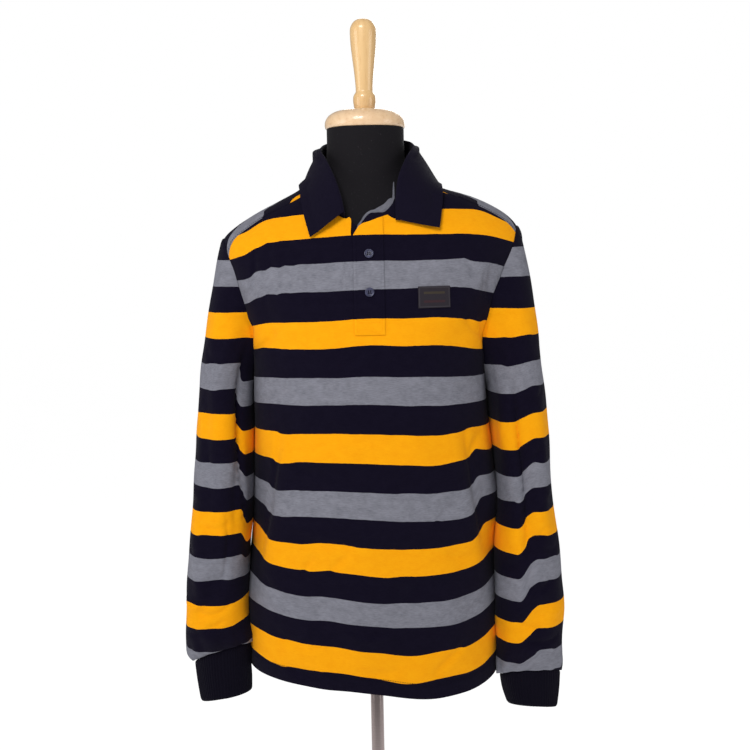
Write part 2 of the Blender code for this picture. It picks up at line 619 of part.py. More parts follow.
def closed_wall(name, inner, outer, material, ring=False):
    """A solid between two grids of points (rows, columns, 3); a ring's columns close on themselves."""
    rows, columns = inner.shape[:2]
    points = np.concatenate([inner.reshape(-1, 3), outer.reshape(-1, 3)])
    index = np.arange(rows * columns).reshape(rows, columns)
    if ring:
        index = np.concatenate([index, index[:, :1]], axis=1)
    a, b, c, d = index[:-1, :-1], index[:-1, 1:], index[1:, 1:], index[1:, :-1]
    far = rows * columns
    sheets = [np.stack([a, d, c, b], -1), np.stack([a, b, c, d], -1) + far]
    edges = [index[0], index[-1][::-1]]
    if not ring:
        edges += [index[::-1, 0], index[:, -1]]
    for edge in edges:
        sheets.append(np.stack([edge[:-1], edge[1:], edge[1:] + far, edge[:-1] + far], -1))
    faces = np.concatenate([sheet.reshape(-1, 4) for sheet in sheets])
    mesh = bpy.data.meshes.new(name)
    mesh.from_pydata(points.tolist(), [], faces.tolist())
    solid = bmesh.new()
    solid.from_mesh(mesh)
    bmesh.ops.recalc_face_normals(solid, faces=solid.faces)
    if solid.calc_volume(signed=True) < 0:
        bmesh.ops.reverse_faces(solid, faces=solid.faces)
    solid.to_mesh(mesh)
    solid.free()
    mesh.shade_smooth()
    mesh.set_sharp_from_angle(angle=math.radians(45))
    return new_object(name, mesh, material)


def turned_solid(name, profile, material, steps=32):
    """A solid of revolution about Z: the profile runs down its outer side from axis to axis."""
    mesh = bpy.data.meshes.new(name)
    points = [(radius, 0.0, height) for radius, height in profile]
    mesh.from_pydata(points, [(i, i + 1) for i in range(len(points) - 1)], [])
    piece = new_object(name, mesh, material)
    screw = piece.modifiers.new("Turn", "SCREW")
    screw.steps = steps
    screw.render_steps = steps
    screw.use_merge_vertices = True
    screw.merge_threshold = 0.00001
    screw.use_smooth_shade = True
    return piece


# ---------------------------------------------------------------- shirt pieces
def make_front(material):
    """The front: hem to neckline between the side seams, armholes and shoulder seams."""
    chart = front_chart()
    inner, outward = shirt_surface(chart[..., 0], chart[..., 1])
    return closed_wall("front", inner, inner + WALL * outward, material)


def make_back(material):
    """The back: it reaches over the shoulders to the seams in front of them."""
    chart = back_chart()
    inner, outward = shirt_surface(chart[..., 0], chart[..., 1])
    return closed_wall("back", inner, inner + WALL * outward, material)


def sleeve_turns(side):
    """Turns of the sleeve's columns on the armhole loop, the same as the panels' edge points."""
    front = armhole_turns(side, False, FRONT_ARM_ROWS)
    back = armhole_turns(side, True, BACK_ARM_ROWS)
    return np.concatenate([front[::-1][:-1], back[:-1]])


def even_turns(side):
    """The columns' turns on the hanging sections: even on each run, 180 at the underarm."""
    seam = seam_turn(side) * 0.5
    front = np.linspace(seam, 180.0, FRONT_ARM_ROWS + 1)[:-1]
    back = np.linspace(180.0, 360.0 + seam, BACK_ARM_ROWS + 1)[:-1]
    return np.concatenate([front, back])


def sleeve_section(side, table, turn, height):
    """A sleeve table's section at a height: the point, and the direction straight out of it."""
    outer = smooth_column(table, 1, height)
    inner = smooth_column(table, 2, height)
    half_width = (outer - inner) / 2
    half_depth = smooth_column(table, 3, height)
    cosine = np.cos(np.radians(turn))
    sine = np.sin(np.radians(turn))
    x = side * ((outer + inner) / 2 + half_width * signed_power(cosine, 2 / SLEEVE_SQUARENESS))
    y = smooth_column(table, 4, height) - half_depth * signed_power(sine, 2 / SLEEVE_SQUARENESS)
    flat = 0.0 * x
    around = unit(np.stack([side * cosine / half_width + flat, -sine / half_depth + flat, flat], axis=-1))
    return np.stack([x, y, height + flat], axis=-1), around


def sleeve_grid(side, table, rings):
    """The sleeve's inner face: the armhole loop first, sections of the table below it.

    A point's height runs evenly from the armhole's height to the cuff's. Its place is on the
    table's section at that height, blended from the armhole's own place near the top.
    """
    share = np.linspace(0.0, 1.0, rings)[:, None]
    angle, loop_height = armhole_chart(side, sleeve_turns(side)[None, :], SLEEVE_LAP)
    on_body, body_outward = shirt_surface(angle, loop_height)
    turn = even_turns(side)[None, :]
    height = loop_height + (table[0, 0] - loop_height) * share
    hung, around = sleeve_section(side, table, turn, height)
    rise = fold_rise([(a * DEGREE_WIDTH, b, c * DEGREE_WIDTH, d, width, size)
                      for a, b, c, d, width, size in SLEEVE_FOLDS[side]],
                     (turn % 360.0) * DEGREE_WIDTH + 0.0 * height, height)
    hung = hung + rise[..., None] * around
    hung[..., 2] = hung[..., 2] + tilted(CUFF_SEAM_TILT[side], turn) * share
    hold = np.clip(1 - share / SLEEVE_HEAD_SHARE, 0, 1)[..., None] ** 2
    start = on_body + body_outward * (WALL + SLEEVE_REST)
    return hung * (1 - hold) + start * hold, around, body_outward[0]


def tilted(rises, turn):
    """The rise of a sleeve's end at a turn: its inner side and its front stand higher."""
    return rises[0] * (1 - np.cos(np.radians(turn))) / 2 + rises[1] * np.sin(np.radians(turn))


def make_sleeve(name, side, table, material):
    """A sleeve hanging from its armhole to its cuff seam, just clear of the body."""
    inner, around, body_outward = sleeve_grid(side, table, SLEEVE_RINGS)
    hung = held_clear(inner[1:], SHIRT_SECTIONS, SQUARENESS, 2 * WALL + SLEEVE_REST)
    inner = np.concatenate([inner[:1], hung])
    outward = grid_outward(inner, around)
    outward[-1] = around[-1]
    turned_back = np.maximum(-(outward[0] * body_outward).sum(-1, keepdims=True), 0.0)
    inner[0] = inner[0] + body_outward * WALL * turned_back
    return closed_wall(name, inner, inner + WALL * outward, material, ring=True)


def grid_outward(grid, rough):
    """Unit normals of a ring grid, on the side that a rough outward direction shows."""
    around = np.roll(grid, -1, axis=1) - np.roll(grid, 1, axis=1)
    along = np.gradient(grid, axis=0)
    normal = unit(np.cross(around, along))
    facing = np.sign((normal * rough).sum(-1, keepdims=True))
    return normal * np.where(facing == 0, 1.0, facing)


def make_cuff(name, side, table, material):
    """A cuff: a short tube below the sleeve's end, a seam's gap under it."""
    turn = even_turns(side)[None, :]
    height = np.linspace(table[0, 0], table[-1, 0], 4)[:, None]
    inner, around = sleeve_section(side, table, turn, height)
    upward = np.linspace(0.0, 1.0, 4)[:, None]
    seam_rise = tilted(CUFF_SEAM_TILT[side], turn)
    mouth_rise = tilted(CUFF_MOUTH_TILT[side], turn)
    inner[..., 2] = inner[..., 2] + mouth_rise * (1 - upward) + seam_rise * upward
    inner = held_clear(inner, SHIRT_SECTIONS, SQUARENESS, WALL + CUFF_WALL + SLEEVE_REST)
    return closed_wall(name, inner, inner + CUFF_WALL * around, material, ring=True)


# ---------------------------------------------------------------- collar
def collar_line(place, columns):
    """Points of a collar line from the -X end round the back to the +X end; place is -1 to 1."""
    share = 1 - np.abs(place)
    points = []
    for column in columns:
        right = smooth_column(COLLAR_RIGHT, column, share)
        left = smooth_column(COLLAR_LEFT, column, share)
        points.append(np.where(place < 0, right, left))
    points[0] = points[0] * np.sign(place + 1e-9)
    return np.stack(points, axis=-1)


def level_outward(line):
    """The level direction straight out of a line that runs from -X round the back to +X."""
    run = unit(np.gradient(line, axis=0) * np.array([1.0, 1.0, 0.0]))
    return np.cross(np.array([0.0, 0.0, 1.0]), run)


def stand_foot(place):
    """The stand's foot: just inside the neckline's edge, from one front end round to the other."""
    angle = neck_angles(270.0 - COLLAR_ENDS_ANGLE[-1], -90.0 + COLLAR_ENDS_ANGLE[1], (place + 1) / 2)
    edge, _ = shirt_surface(angle, neck_height(angle))
    outward = level_outward(edge)
    foot = edge - outward * (COLLAR_WALL + STAND_FOOT_INSET) + np.array([0.0, 0.0, STAND_FOOT_RISE])
    return foot, outward


def make_collar_stand(material, place):
    """The band that stands on the neckline up to the collar's fold."""
    foot, foot_outward = stand_foot(place)
    top = collar_line(place, (1, 2, 3))
    top_outward = level_outward(top)
    share = np.linspace(0, 1, 4)[:, None, None]
    outward = unit(foot_outward * (1 - share) + top_outward * share)
    inner = foot * (1 - share) + (top - top_outward * COLLAR_WALL) * share
    inner[:-1] = held_clear(inner[:-1], FORM_SECTIONS, FORM_SQUARENESS, 2 * SEAM_GAP)
    return closed_wall("collar_stand", inner, inner + COLLAR_WALL * outward, material)


def make_collar_leaf(material, place):
    """The leaf: from the stand's top, over the fold and down to its spread points."""
    up = np.array([0.0, 0.0, 1.0])
    fold = collar_line(place, (1, 2, 3)) + SEAM_GAP * up
    edge = collar_line(place, (4, 5, 6))
    away = level_outward(fold)
    under = [fold, fold + (away + up) * COLLAR_FOLD_RADIUS]
    outward = [-away, np.broadcast_to(up, away.shape)]
    start = fold + away * 2 * COLLAR_FOLD_RADIUS
    face = unit(np.cross(unit(np.gradient(start, axis=0)), unit(edge - start)))
    body_outward = unit(section_slope(SHIRT_SECTIONS, SQUARENESS, (start + edge) / 2))
    face = face * np.sign((face * body_outward).sum(-1, keepdims=True))
    for share in np.linspace(0, 1, 7):
        bulge = COLLAR_BULGE * math.sin(math.pi * share)
        under.append(start + (edge - start) * share + face * bulge)
        outward.append(unit(face * share + away * (1 - share)))
    under = np.stack(under)
    clear = held_clear(under[3:], SHIRT_SECTIONS, SQUARENESS, WALL + COLLAR_REST)
    under = np.concatenate([under[:3], clear])
    return closed_wall("collar_leaf", under, under + COLLAR_WALL * unit(np.stack(outward)), material)


# ---------------------------------------------------------------- trims on the front
def front_strip(name, size, columns, rows, material):
    """A flat piece on the front's outer face, between two places across and a sloped top."""
    share = np.linspace(0, 1, columns)[None, :]
    top = size["top_left"] + (size["top_right"] - size["top_left"]) * share
    height = size["bottom"] + (top - size["bottom"]) * np.linspace(0, 1, rows)[:, None]
    x = size["left"] + (size["right"] - size["left"]) * share + 0.0 * height
    base, outward = shirt_surface(front_angle(x, height), height)
    inner = base + (WALL + STRIP_REST) * outward
    return closed_wall(name, inner, inner + TRIM_WALL * outward, material)


def form_front(x, height):
    """The depth of the dress form's front at a place across and a height."""
    half = smooth_column(FORM_SECTIONS, 2, height)
    depth = smooth_column(FORM_SECTIONS, 3, height)
    return -depth * (1 - (np.abs(x) / half) ** FORM_SQUARENESS) ** (1 / FORM_SQUARENESS)


def neck_ribbon(name, table, wall, material):
    """A short band across the neck's front, a table's distances in front of the form."""
    share = np.linspace(0, 1, 4)[:, None]
    x = table[:, 0][None, :] + 0.0 * share
    height = table[:, 1] * (1 - share) + table[:, 2] * share
    distance = table[:, 3] * (1 - share) + table[:, 4] * share
    inner = np.stack([x, form_front(x, height) - distance, height], axis=-1)
    return closed_wall(name, inner, inner + wall * np.array([0.0, -1.0, 0.0]), material)


def make_buttons(material):
    """Round four-hole style discs, dished on top, lying on the placket."""
    for number, height in enumerate(BUTTON_HEIGHTS, start=1):
        base, outward = shirt_surface(front_angle(np.array([BUTTON_X]), np.array([height])),
                                      np.array([height]))
        rim = BUTTON_RADIUS
        thick = BUTTON_THICKNESS
        profile = [(0.0, thick * 0.70), (rim * 0.60, thick * 0.70), (rim * 0.75, thick),
                   (rim * 0.92, thick * 0.92), (rim, thick * 0.55), (rim * 0.85, 0.0), (0.0, 0.0)]
        piece = turned_solid(f"button_{number}", profile, material, steps=16)
        direction = outward[0]
        piece.location = base[0] + direction * (WALL + STRIP_REST + TRIM_WALL + SEAM_GAP)
        piece.rotation_mode = "QUATERNION"
        piece.rotation_quaternion = to_quaternion(direction)


def to_quaternion(direction):
    """The turn that takes +Z to a direction."""
    return Vector(direction).to_track_quat("Z", "Y")


# ---------------------------------------------------------------- dress form and stand
def make_form(material):
    """The smooth torso and neck, one closed body of stacked sections."""
    steps = 32
    heights = FORM_SECTIONS[:, 0]
    angle = np.arange(0.0, 360.0, 360.0 / steps)[None, :]
    grid = section_point(FORM_SECTIONS, FORM_SQUARENESS, angle, heights[:, None])
    rows = len(heights)
    points = grid.reshape(-1, 3).tolist()
    index = np.arange(rows * steps).reshape(rows, steps)
    index = np.concatenate([index, index[:, :1]], axis=1)
    faces = np.stack([index[:-1, :-1], index[:-1, 1:], index[1:, 1:], index[1:, :-1]], -1)
    mesh = bpy.data.meshes.new("form_torso")
    mesh.from_pydata(points, [], faces.reshape(-1, 4).tolist() + [index[0, :-1][::-1].tolist(),
                                                                  index[-1, :-1].tolist()])
    mesh.shade_smooth()
    mesh.set_sharp_from_angle(angle=math.radians(50))
    return new_object("form_torso", mesh, material)


def make_cap(material):
    """The varnished wooden cap on the neck: a low dome with a rounded rim."""
    foot = NECK_TOP + SEAM_GAP
    profile = [(0.0, foot + 0.0265), (0.018, foot + 0.0264), (0.030, foot + 0.0254), (0.042, foot + 0.0230),
               (0.0505, foot + 0.0180), (0.0550, foot + 0.0115), (0.0560, foot + 0.0050), (0.0550, foot + 0.0010), (0.0540, foot),
               (0.0, foot)]
    return turned_solid("neck_cap", profile, material, steps=32)


def make_finial(material):
    """The turned wooden handle on the cap: a collar at its foot, slim above it, a fuller top."""
    foot = NECK_TOP + SEAM_GAP + 0.0265 + SEAM_GAP
    profile = [(0.0, 1.6920), (0.0080, 1.6915), (0.0135, 1.6880), (0.0172, 1.6820), (0.0183, 1.6760),
               (0.0178, 1.6600), (0.0160, 1.6420), (0.0140, 1.6250), (0.0124, 1.6080), (0.0119, 1.5960),
               (0.0130, 1.5930), (0.0152, 1.5890), (0.0158, 1.5830), (0.0150, 1.5760), (0.0140, foot),
               (0.0, foot)]
    return turned_solid("finial", profile, material, steps=24)


def make_pole(material):
    """The steel pole between the base and the form."""
    top = FORM_SECTIONS[0, 0] - SEAM_GAP
    foot = BASE_THICKNESS + 0.018 + SEAM_GAP
    profile = [(0.0, top), (POLE_RADIUS, top), (POLE_RADIUS, foot), (0.0, foot)]
    return turned_solid("pole", profile, material, steps=24)


def make_base(material):
    """A plain round base plate with a low boss round the pole's foot."""
    rim = BASE_RADIUS
    top = BASE_THICKNESS
    profile = [(0.0, top + 0.018), (0.0165, top + 0.018), (0.0180, top + 0.0165), (0.0200, top + 0.002),
               (0.0230, top), (rim - 0.008, top - 0.002), (rim - 0.002, top - 0.005), (rim, top - 0.009),
               (rim, 0.002), (rim - 0.002, 0.0), (0.0, 0.0)]
    return turned_solid("base", profile, material, steps=40)


# ---------------------------------------------------------------- build
for leftover in list(bpy.data.objects):
    bpy.data.objects.remove(leftover)
PART = bpy.data.collections.new("polo_shirt_on_form")
bpy.context.scene.collection.children.link(PART)

navy = new_material("navy_knit", COLOURS["navy"], 0.9)
striped = new_material("striped_knit", COLOURS["orange"], 0.9)
grey = new_material("grey_knit", COLOURS["grey"], 0.9)
form_black = new_material("form_cover", COLOURS["form_black"], 0.8)
wood = new_material("varnished_wood", COLOURS["wood"], 0.3)
steel = new_material("brushed_steel", COLOURS["steel"], 0.35, 1.0)
button = new_material("button_resin", COLOURS["button"], 0.35)
badge = new_material("badge_cloth", COLOURS["badge"], 0.8)

make_front(striped)
make_back(striped)
make_sleeve("sleeve_right", -1, SLEEVE_RIGHT, striped)
make_sleeve("sleeve_left", 1, SLEEVE_LEFT, striped)
make_cuff("cuff_right", -1, CUFF_RIGHT, navy)
make_cuff("cuff_left", 1, CUFF_LEFT, navy)
collar_places = np.linspace(-1, 1, 31)
make_collar_stand(navy, collar_places)
make_collar_leaf(navy, collar_places)
front_strip("placket_over", PLACKET_OVER, 5, 9, striped)
front_strip("placket_under", PLACKET_UNDER, 3, 5, navy)
neck_ribbon("neck_band", NECK_BAND, COLLAR_WALL, navy)
neck_ribbon("placket_facing", PLACKET_FACING, TRIM_WALL, grey)
front_strip("chest_badge", BADGE, 5, 4, badge)
make_buttons(button)
make_form(form_black)
make_cap(wood)
make_finial(wood)
make_pole(steel)
make_base(steel)
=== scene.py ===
"""Looks of a long-sleeved striped knit polo shirt on a limbless dress form with a pole stand.

Metres, +Z up, the wearer's front toward -Y and the wearer's right side at -X. Each piece of cloth is
a thin closed wall on the form of its solid: a grid of points worked out from short tables of
sections, with creases, gathers and ribs added along its normals. Two numbers go with each point of
the striped and ribbed cloth: how far up the cloth it lies ("flat") and how far across ("across").
"""
import math

import bpy
import numpy as np
from mathutils import Matrix, Vector


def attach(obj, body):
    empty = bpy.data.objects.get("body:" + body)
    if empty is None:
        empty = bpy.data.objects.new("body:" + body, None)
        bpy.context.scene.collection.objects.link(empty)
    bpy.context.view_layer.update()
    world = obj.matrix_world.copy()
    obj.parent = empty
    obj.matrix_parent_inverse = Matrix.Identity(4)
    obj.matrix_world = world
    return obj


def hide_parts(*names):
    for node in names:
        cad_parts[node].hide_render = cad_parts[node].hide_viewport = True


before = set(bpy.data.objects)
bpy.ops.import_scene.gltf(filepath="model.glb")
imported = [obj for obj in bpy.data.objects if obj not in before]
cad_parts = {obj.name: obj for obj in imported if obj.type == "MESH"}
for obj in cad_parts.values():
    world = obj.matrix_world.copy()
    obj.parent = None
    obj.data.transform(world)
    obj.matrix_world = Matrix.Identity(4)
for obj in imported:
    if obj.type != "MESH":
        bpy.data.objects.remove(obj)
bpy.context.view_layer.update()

# ---------------------------------------------------------------- sizes of the cloth
WALL = 0.0014                # knit cloth
COLLAR_WALL = 0.0016         # flat-knit collar
CUFF_WALL = 0.0018           # double rib
TRIM_WALL = 0.0010           # placket strip and badge
SEAM_GAP = 0.0003            # between pieces that are sewn together
SEAM_HALF_GAP = 0.0003       # from a shoulder seam's line to either panel
CLOTH_REST = 0.0013          # how far the cloth's smooth face lies off the form
SLEEVE_REST = 0.0008         # how far the hanging sleeve keeps off the body's cloth
SLEEVE_EDGE_REST = 0.0003    # how far the sleeve's edge lies off the panel it laps
HEM_HEIGHT = 0.778
UNDERARM_HEIGHT = 1.190
SQUARENESS = 2.4             # exponent of the shirt's rounded sections
FORM_SQUARENESS = 2.3

# Shirt sections: height, half width at -X, half width at +X, front depth, back depth, twist degrees
SHIRT_SECTIONS = np.array([
    (0.778, 0.184, 0.177, 0.133, 0.126, 5.0),
    (0.840, 0.187, 0.176, 0.134, 0.127, 4.5),
    (0.900, 0.185, 0.175, 0.134, 0.127, 4.0),
    (0.960, 0.177, 0.174, 0.133, 0.125, 3.0),
    (1.015, 0.171, 0.178, 0.133, 0.122, 2.0),
    (1.060, 0.169, 0.175, 0.133, 0.119, 1.5),
    (1.120, 0.166, 0.168, 0.132, 0.117, 1.0),
    (1.190, 0.164, 0.161, 0.131, 0.119, 0.0),
    (1.250, 0.167, 0.165, 0.129, 0.121, 0.0),
    (1.310, 0.180, 0.180, 0.121, 0.120, 0.0),
    (1.350, 0.194, 0.198, 0.111, 0.116, 0.0),
    (1.380, 0.203, 0.212, 0.100, 0.110, 0.0),
    (1.397, 0.199, 0.212, 0.093, 0.104, 0.0),
    (1.414, 0.180, 0.202, 0.084, 0.096, 0.0),
    (1.431, 0.152, 0.180, 0.074, 0.086, 0.0),
    (1.448, 0.118, 0.144, 0.066, 0.075, 0.0),
    (1.460, 0.095, 0.104, 0.061, 0.067, 0.0),
    (1.470, 0.082, 0.085, 0.0625, 0.0665, 0.0),
    (1.480, 0.0725, 0.0740, 0.0610, 0.0640, 0.0),
    (1.495, 0.0660, 0.0670, 0.0600, 0.0625, 0.0),
])

# Dress form sections: height, half width at -X, half width at +X, front depth, back depth, twist
FORM_SECTIONS = np.array([
    (0.836, 0.140, 0.140, 0.096, 0.094, 0.0),
    (0.850, 0.150, 0.150, 0.105, 0.103, 0.0),
    (0.910, 0.153, 0.153, 0.108, 0.110, 0.0),
    (0.985, 0.143, 0.143, 0.104, 0.100, 0.0),
    (1.060, 0.136, 0.136, 0.104, 0.093, 0.0),
    (1.140, 0.141, 0.141, 0.112, 0.097, 0.0),
    (1.220, 0.149, 0.149, 0.119, 0.106, 0.0),
    (1.280, 0.155, 0.155, 0.116, 0.112, 0.0),
    (1.330, 0.168, 0.168, 0.107, 0.110, 0.0),
    (1.365, 0.184, 0.186, 0.097, 0.105, 0.0),
    (1.385, 0.194, 0.197, 0.090, 0.101, 0.0),
    (1.397, 0.1930, 0.1965, 0.085, 0.097, 0.0),
    (1.414, 0.1745, 0.177, 0.077, 0.090, 0.0),
    (1.431, 0.1460, 0.148, 0.069, 0.081, 0.0),
    (1.448, 0.1130, 0.1140, 0.062, 0.070, 0.0),
    (1.460, 0.092, 0.091, 0.058, 0.063, 0.0),
    (1.470, 0.0765, 0.0765, 0.0565, 0.060, 0.0),
    (1.480, 0.0650, 0.0650, 0.0555, 0.0575, 0.0),
    (1.495, 0.0565, 0.0565, 0.0545, 0.0550, 0.0),
    (1.515, 0.0540, 0.0540, 0.0540, 0.0540, 0.0),
    (1.544, 0.0535, 0.0535, 0.0535, 0.0535, 0.0),
])

# Armhole of each side: middle height, half height, front reach, back reach,
# depth of the shoulder seam's outer end in front
ARMHOLE = {
    -1: dict(middle=1.2925, half_height=0.1025, front=0.053, back=0.058, seam_depth=0.047),
    +1: dict(middle=1.2965, half_height=0.1085, front=0.052, back=0.058, seam_depth=0.036),
}
ARMHOLE_TOP_SQUARENESS = 3.6
ARMHOLE_LOW_SQUARENESS = 2.2
SEAM_BOW = 0.002             # how far the shoulder seam's middle rises above the line between its ends
NECK_SEAM_ANGLE = 46.0       # degrees forward of the side, where the shoulder seam meets the neck

# Neckline: degrees round from the front's middle (the side at -X is below 0), height. It drops into
# the placket's opening, and rises beside it along the placket's turned corner.
NECKLINE = np.array([
    (-180.0, 1.489),
    (-135.0, 1.486),
    (-90.0, 1.478),
    (-51.0, 1.466),
    (-29.0, 1.450),
    (-14.0, 1.430),
    (-6.60, 1.4190),
    (-4.45, 1.4174),
    (-4.30, 1.4140),
    (-4.00, 1.3990),
    (-3.50, 1.3965),
    (-2.95, 1.3998),
    (-2.00, 1.4088),
    (-0.95, 1.4120),
    (0.70, 1.4152),
    (2.20, 1.4185),
    (4.10, 1.4215),
    (5.40, 1.4240),
    (7.20, 1.4190),
    (9.0, 1.4180),
    (13.0, 1.4310),
    (24.0, 1.450),
    (46.0, 1.466),
    (90.0, 1.478),
    (135.0, 1.486),
    (180.0, 1.489),
])

# Hem: place across, how much higher than the hem's own height it hangs
HEM_RISE = np.array([
    (-0.190, 0.018),
    (-0.140, 0.016),
    (-0.080, 0.011),
    (-0.030, 0.006),
    (0.010, 0.000),
    (0.060, -0.010),
    (0.100, -0.012),
    (0.150, -0.009),
    (0.190, -0.004),
])

# Front folds: start x, start height, end x, end height, half width, rise (a trough is below 0)
FRONT_FOLDS = [
    (-0.140, 1.120, -0.168, 0.930, 0.014, -0.0055),
    (-0.118, 1.080, -0.146, 0.890, 0.018, 0.0040),
    (0.136, 1.120, 0.168, 0.925, 0.012, -0.0055),
    (0.118, 1.085, 0.146, 0.900, 0.018, 0.0042),
    (0.166, 1.350, 0.158, 1.300, 0.010, -0.0040),
    (-0.150, 1.330, -0.120, 1.250, 0.014, -0.0035),
    (0.150, 1.310, 0.110, 1.235, 0.016, -0.0030),
    (-0.080, 0.990, -0.060, 0.830, 0.022, -0.0035),
    (-0.020, 0.950, -0.010, 0.800, 0.024, 0.0035),
    (0.050, 0.980, 0.040, 0.820, 0.022, -0.0035),
    (0.100, 0.960, 0.110, 0.810, 0.020, 0.0030),
]

# Back folds, in the same columns
BACK_FOLDS = [
    (-0.130, 1.180, -0.060, 1.020, 0.016, -0.0060),
    (0.130, 1.170, 0.070, 1.010, 0.016, -0.0055),
    (-0.040, 1.120, -0.050, 0.830, 0.020, 0.0060),
    (0.045, 1.100, 0.060, 0.820, 0.020, 0.0060),
    (0.000, 1.060, 0.004, 0.800, 0.018, -0.0050),
    (-0.110, 0.980, -0.100, 0.800, 0.020, -0.0045),
    (0.115, 0.990, 0.110, 0.800, 0.020, -0.0045),
    (-0.150, 1.330, -0.120, 1.230, 0.014, -0.0040),
    (0.150, 1.330, 0.120, 1.230, 0.014, -0.0040),
]

# Sleeve sections at -X: height, outer x, inner x, half depth, middle depth
SLEEVE_RIGHT = np.array([
    (0.8000, 0.2580, 0.1724, 0.035, -0.052),
    (0.8090, 0.2645, 0.1738, 0.042, -0.052),
    (0.8300, 0.2672, 0.1770, 0.048, -0.052),
    (0.8976, 0.2642, 0.1790, 0.055, -0.050),
    (0.9443, 0.2607, 0.1762, 0.058, -0.045),
    (1.0093, 0.2543, 0.1707, 0.061, -0.035),
    (1.0750, 0.2490, 0.1677, 0.064, -0.023),
    (1.1420, 0.2445, 0.1656, 0.067, -0.012),
    (1.2005, 0.2393, 0.1685, 0.069, -0.004),
    (1.2600, 0.2300, 0.1720, 0.068, -0.000),
    (1.3100, 0.2225, 0.1770, 0.064, -0.000),
    (1.3600, 0.2150, 0.1820, 0.058, -0.000),
    (1.3980, 0.2080, 0.1880, 0.052, -0.000),
])

# Sleeve sections at +X, in the same columns
SLEEVE_LEFT = np.array([
    (0.7668, 0.2640, 0.1760, 0.034, -0.034),
    (0.7844, 0.2670, 0.1740, 0.043, -0.034),
    (0.8137, 0.2665, 0.1740, 0.049, -0.034),
    (0.8625, 0.2689, 0.1720, 0.054, -0.034),
    (0.9153, 0.2660, 0.1714, 0.057, -0.031),
    (0.9679, 0.2618, 0.1719, 0.059, -0.027),
    (1.0203, 0.2540, 0.1760, 0.061, -0.021),
    (1.0732, 0.2520, 0.1743, 0.064, -0.015),
    (1.1316, 0.2490, 0.1695, 0.067, -0.009),
    (1.1905, 0.2434, 0.1716, 0.069, -0.004),
    (1.2500, 0.2375, 0.1730, 0.068, -0.000),
    (1.3100, 0.2310, 0.1780, 0.064, -0.000),
    (1.3600, 0.2240, 0.1860, 0.058, -0.000),
    (1.4080, 0.2130, 0.1950, 0.050, -0.000),
])
SLEEVE_SQUARENESS = 2.3
SLEEVE_HEAD_SHARE = 0.22     # share of the sleeve's length over which it leaves the armhole's line
DEGREE_WIDTH = 0.001         # metres of cloth that a degree round the sleeve stands for, in folds
SLEEVE_LAP = 0.0012          # how far the sleeve's edge laps onto the body's panels
CUFF_SEAM_TILT = {-1: (0.029, 0.014), +1: (-0.003, 0.017)}   # rise of the inner side and of the front
CUFF_MOUTH_TILT = {-1: (0.014, 0.005), +1: (0.006, 0.009)}

# Sleeve folds: start round the sleeve in degrees (0 outer side, 90 front), start height,
# end round the sleeve, end height, half width, rise
SLEEVE_FOLDS = {
    -1: [
        (128.0, 1.300, 122.0, 0.960, 0.011, -0.0065),
        (95.0, 1.290, 88.0, 1.060, 0.016, 0.0040),
        (60.0, 1.180, 78.0, 0.980, 0.014, -0.0035),
        (40.0, 1.000, 75.0, 0.880, 0.014, 0.0035),
        (110.0, 0.940, 60.0, 0.850, 0.014, -0.0045),
        (60.0, 0.850, 100.0, 0.810, 0.012, 0.0035),
        (250.0, 1.250, 262.0, 0.980, 0.014, -0.0060),
        (285.0, 1.100, 272.0, 0.900, 0.014, 0.0045),
        (240.0, 0.930, 290.0, 0.850, 0.014, -0.0045),
    ],
    +1: [
        (105.0, 1.180, 88.0, 0.900, 0.012, -0.0065),
        (60.0, 1.200, 62.0, 0.960, 0.015, 0.0040),
        (130.0, 1.240, 122.0, 1.020, 0.014, 0.0035),
        (120.0, 0.980, 70.0, 0.880, 0.014, 0.0040),
        (60.0, 0.880, 110.0, 0.830, 0.013, -0.0045),
        (110.0, 0.810, 60.0, 0.785, 0.011, 0.0035),
        (250.0, 1.230, 265.0, 0.960, 0.014, -0.0060),
        (285.0, 1.080, 275.0, 0.890, 0.014, 0.0045),
        (240.0, 0.900, 290.0, 0.830, 0.014, -0.0045),
    ],
}

# Cuffs: height, outer x, inner x, half depth, middle depth
CUFF_RIGHT = np.array([
    (0.7431, 0.2503, 0.1798, 0.031, -0.052),
    (0.7730, 0.2537, 0.1788, 0.032, -0.052),
    (0.7997, 0.2565, 0.1764, 0.034, -0.052),
])
CUFF_LEFT = np.array([
    (0.7141, 0.2596, 0.1912, 0.031, -0.034),
    (0.7404, 0.2621, 0.1849, 0.032, -0.034),
    (0.7665, 0.2640, 0.1810, 0.034, -0.034),
])

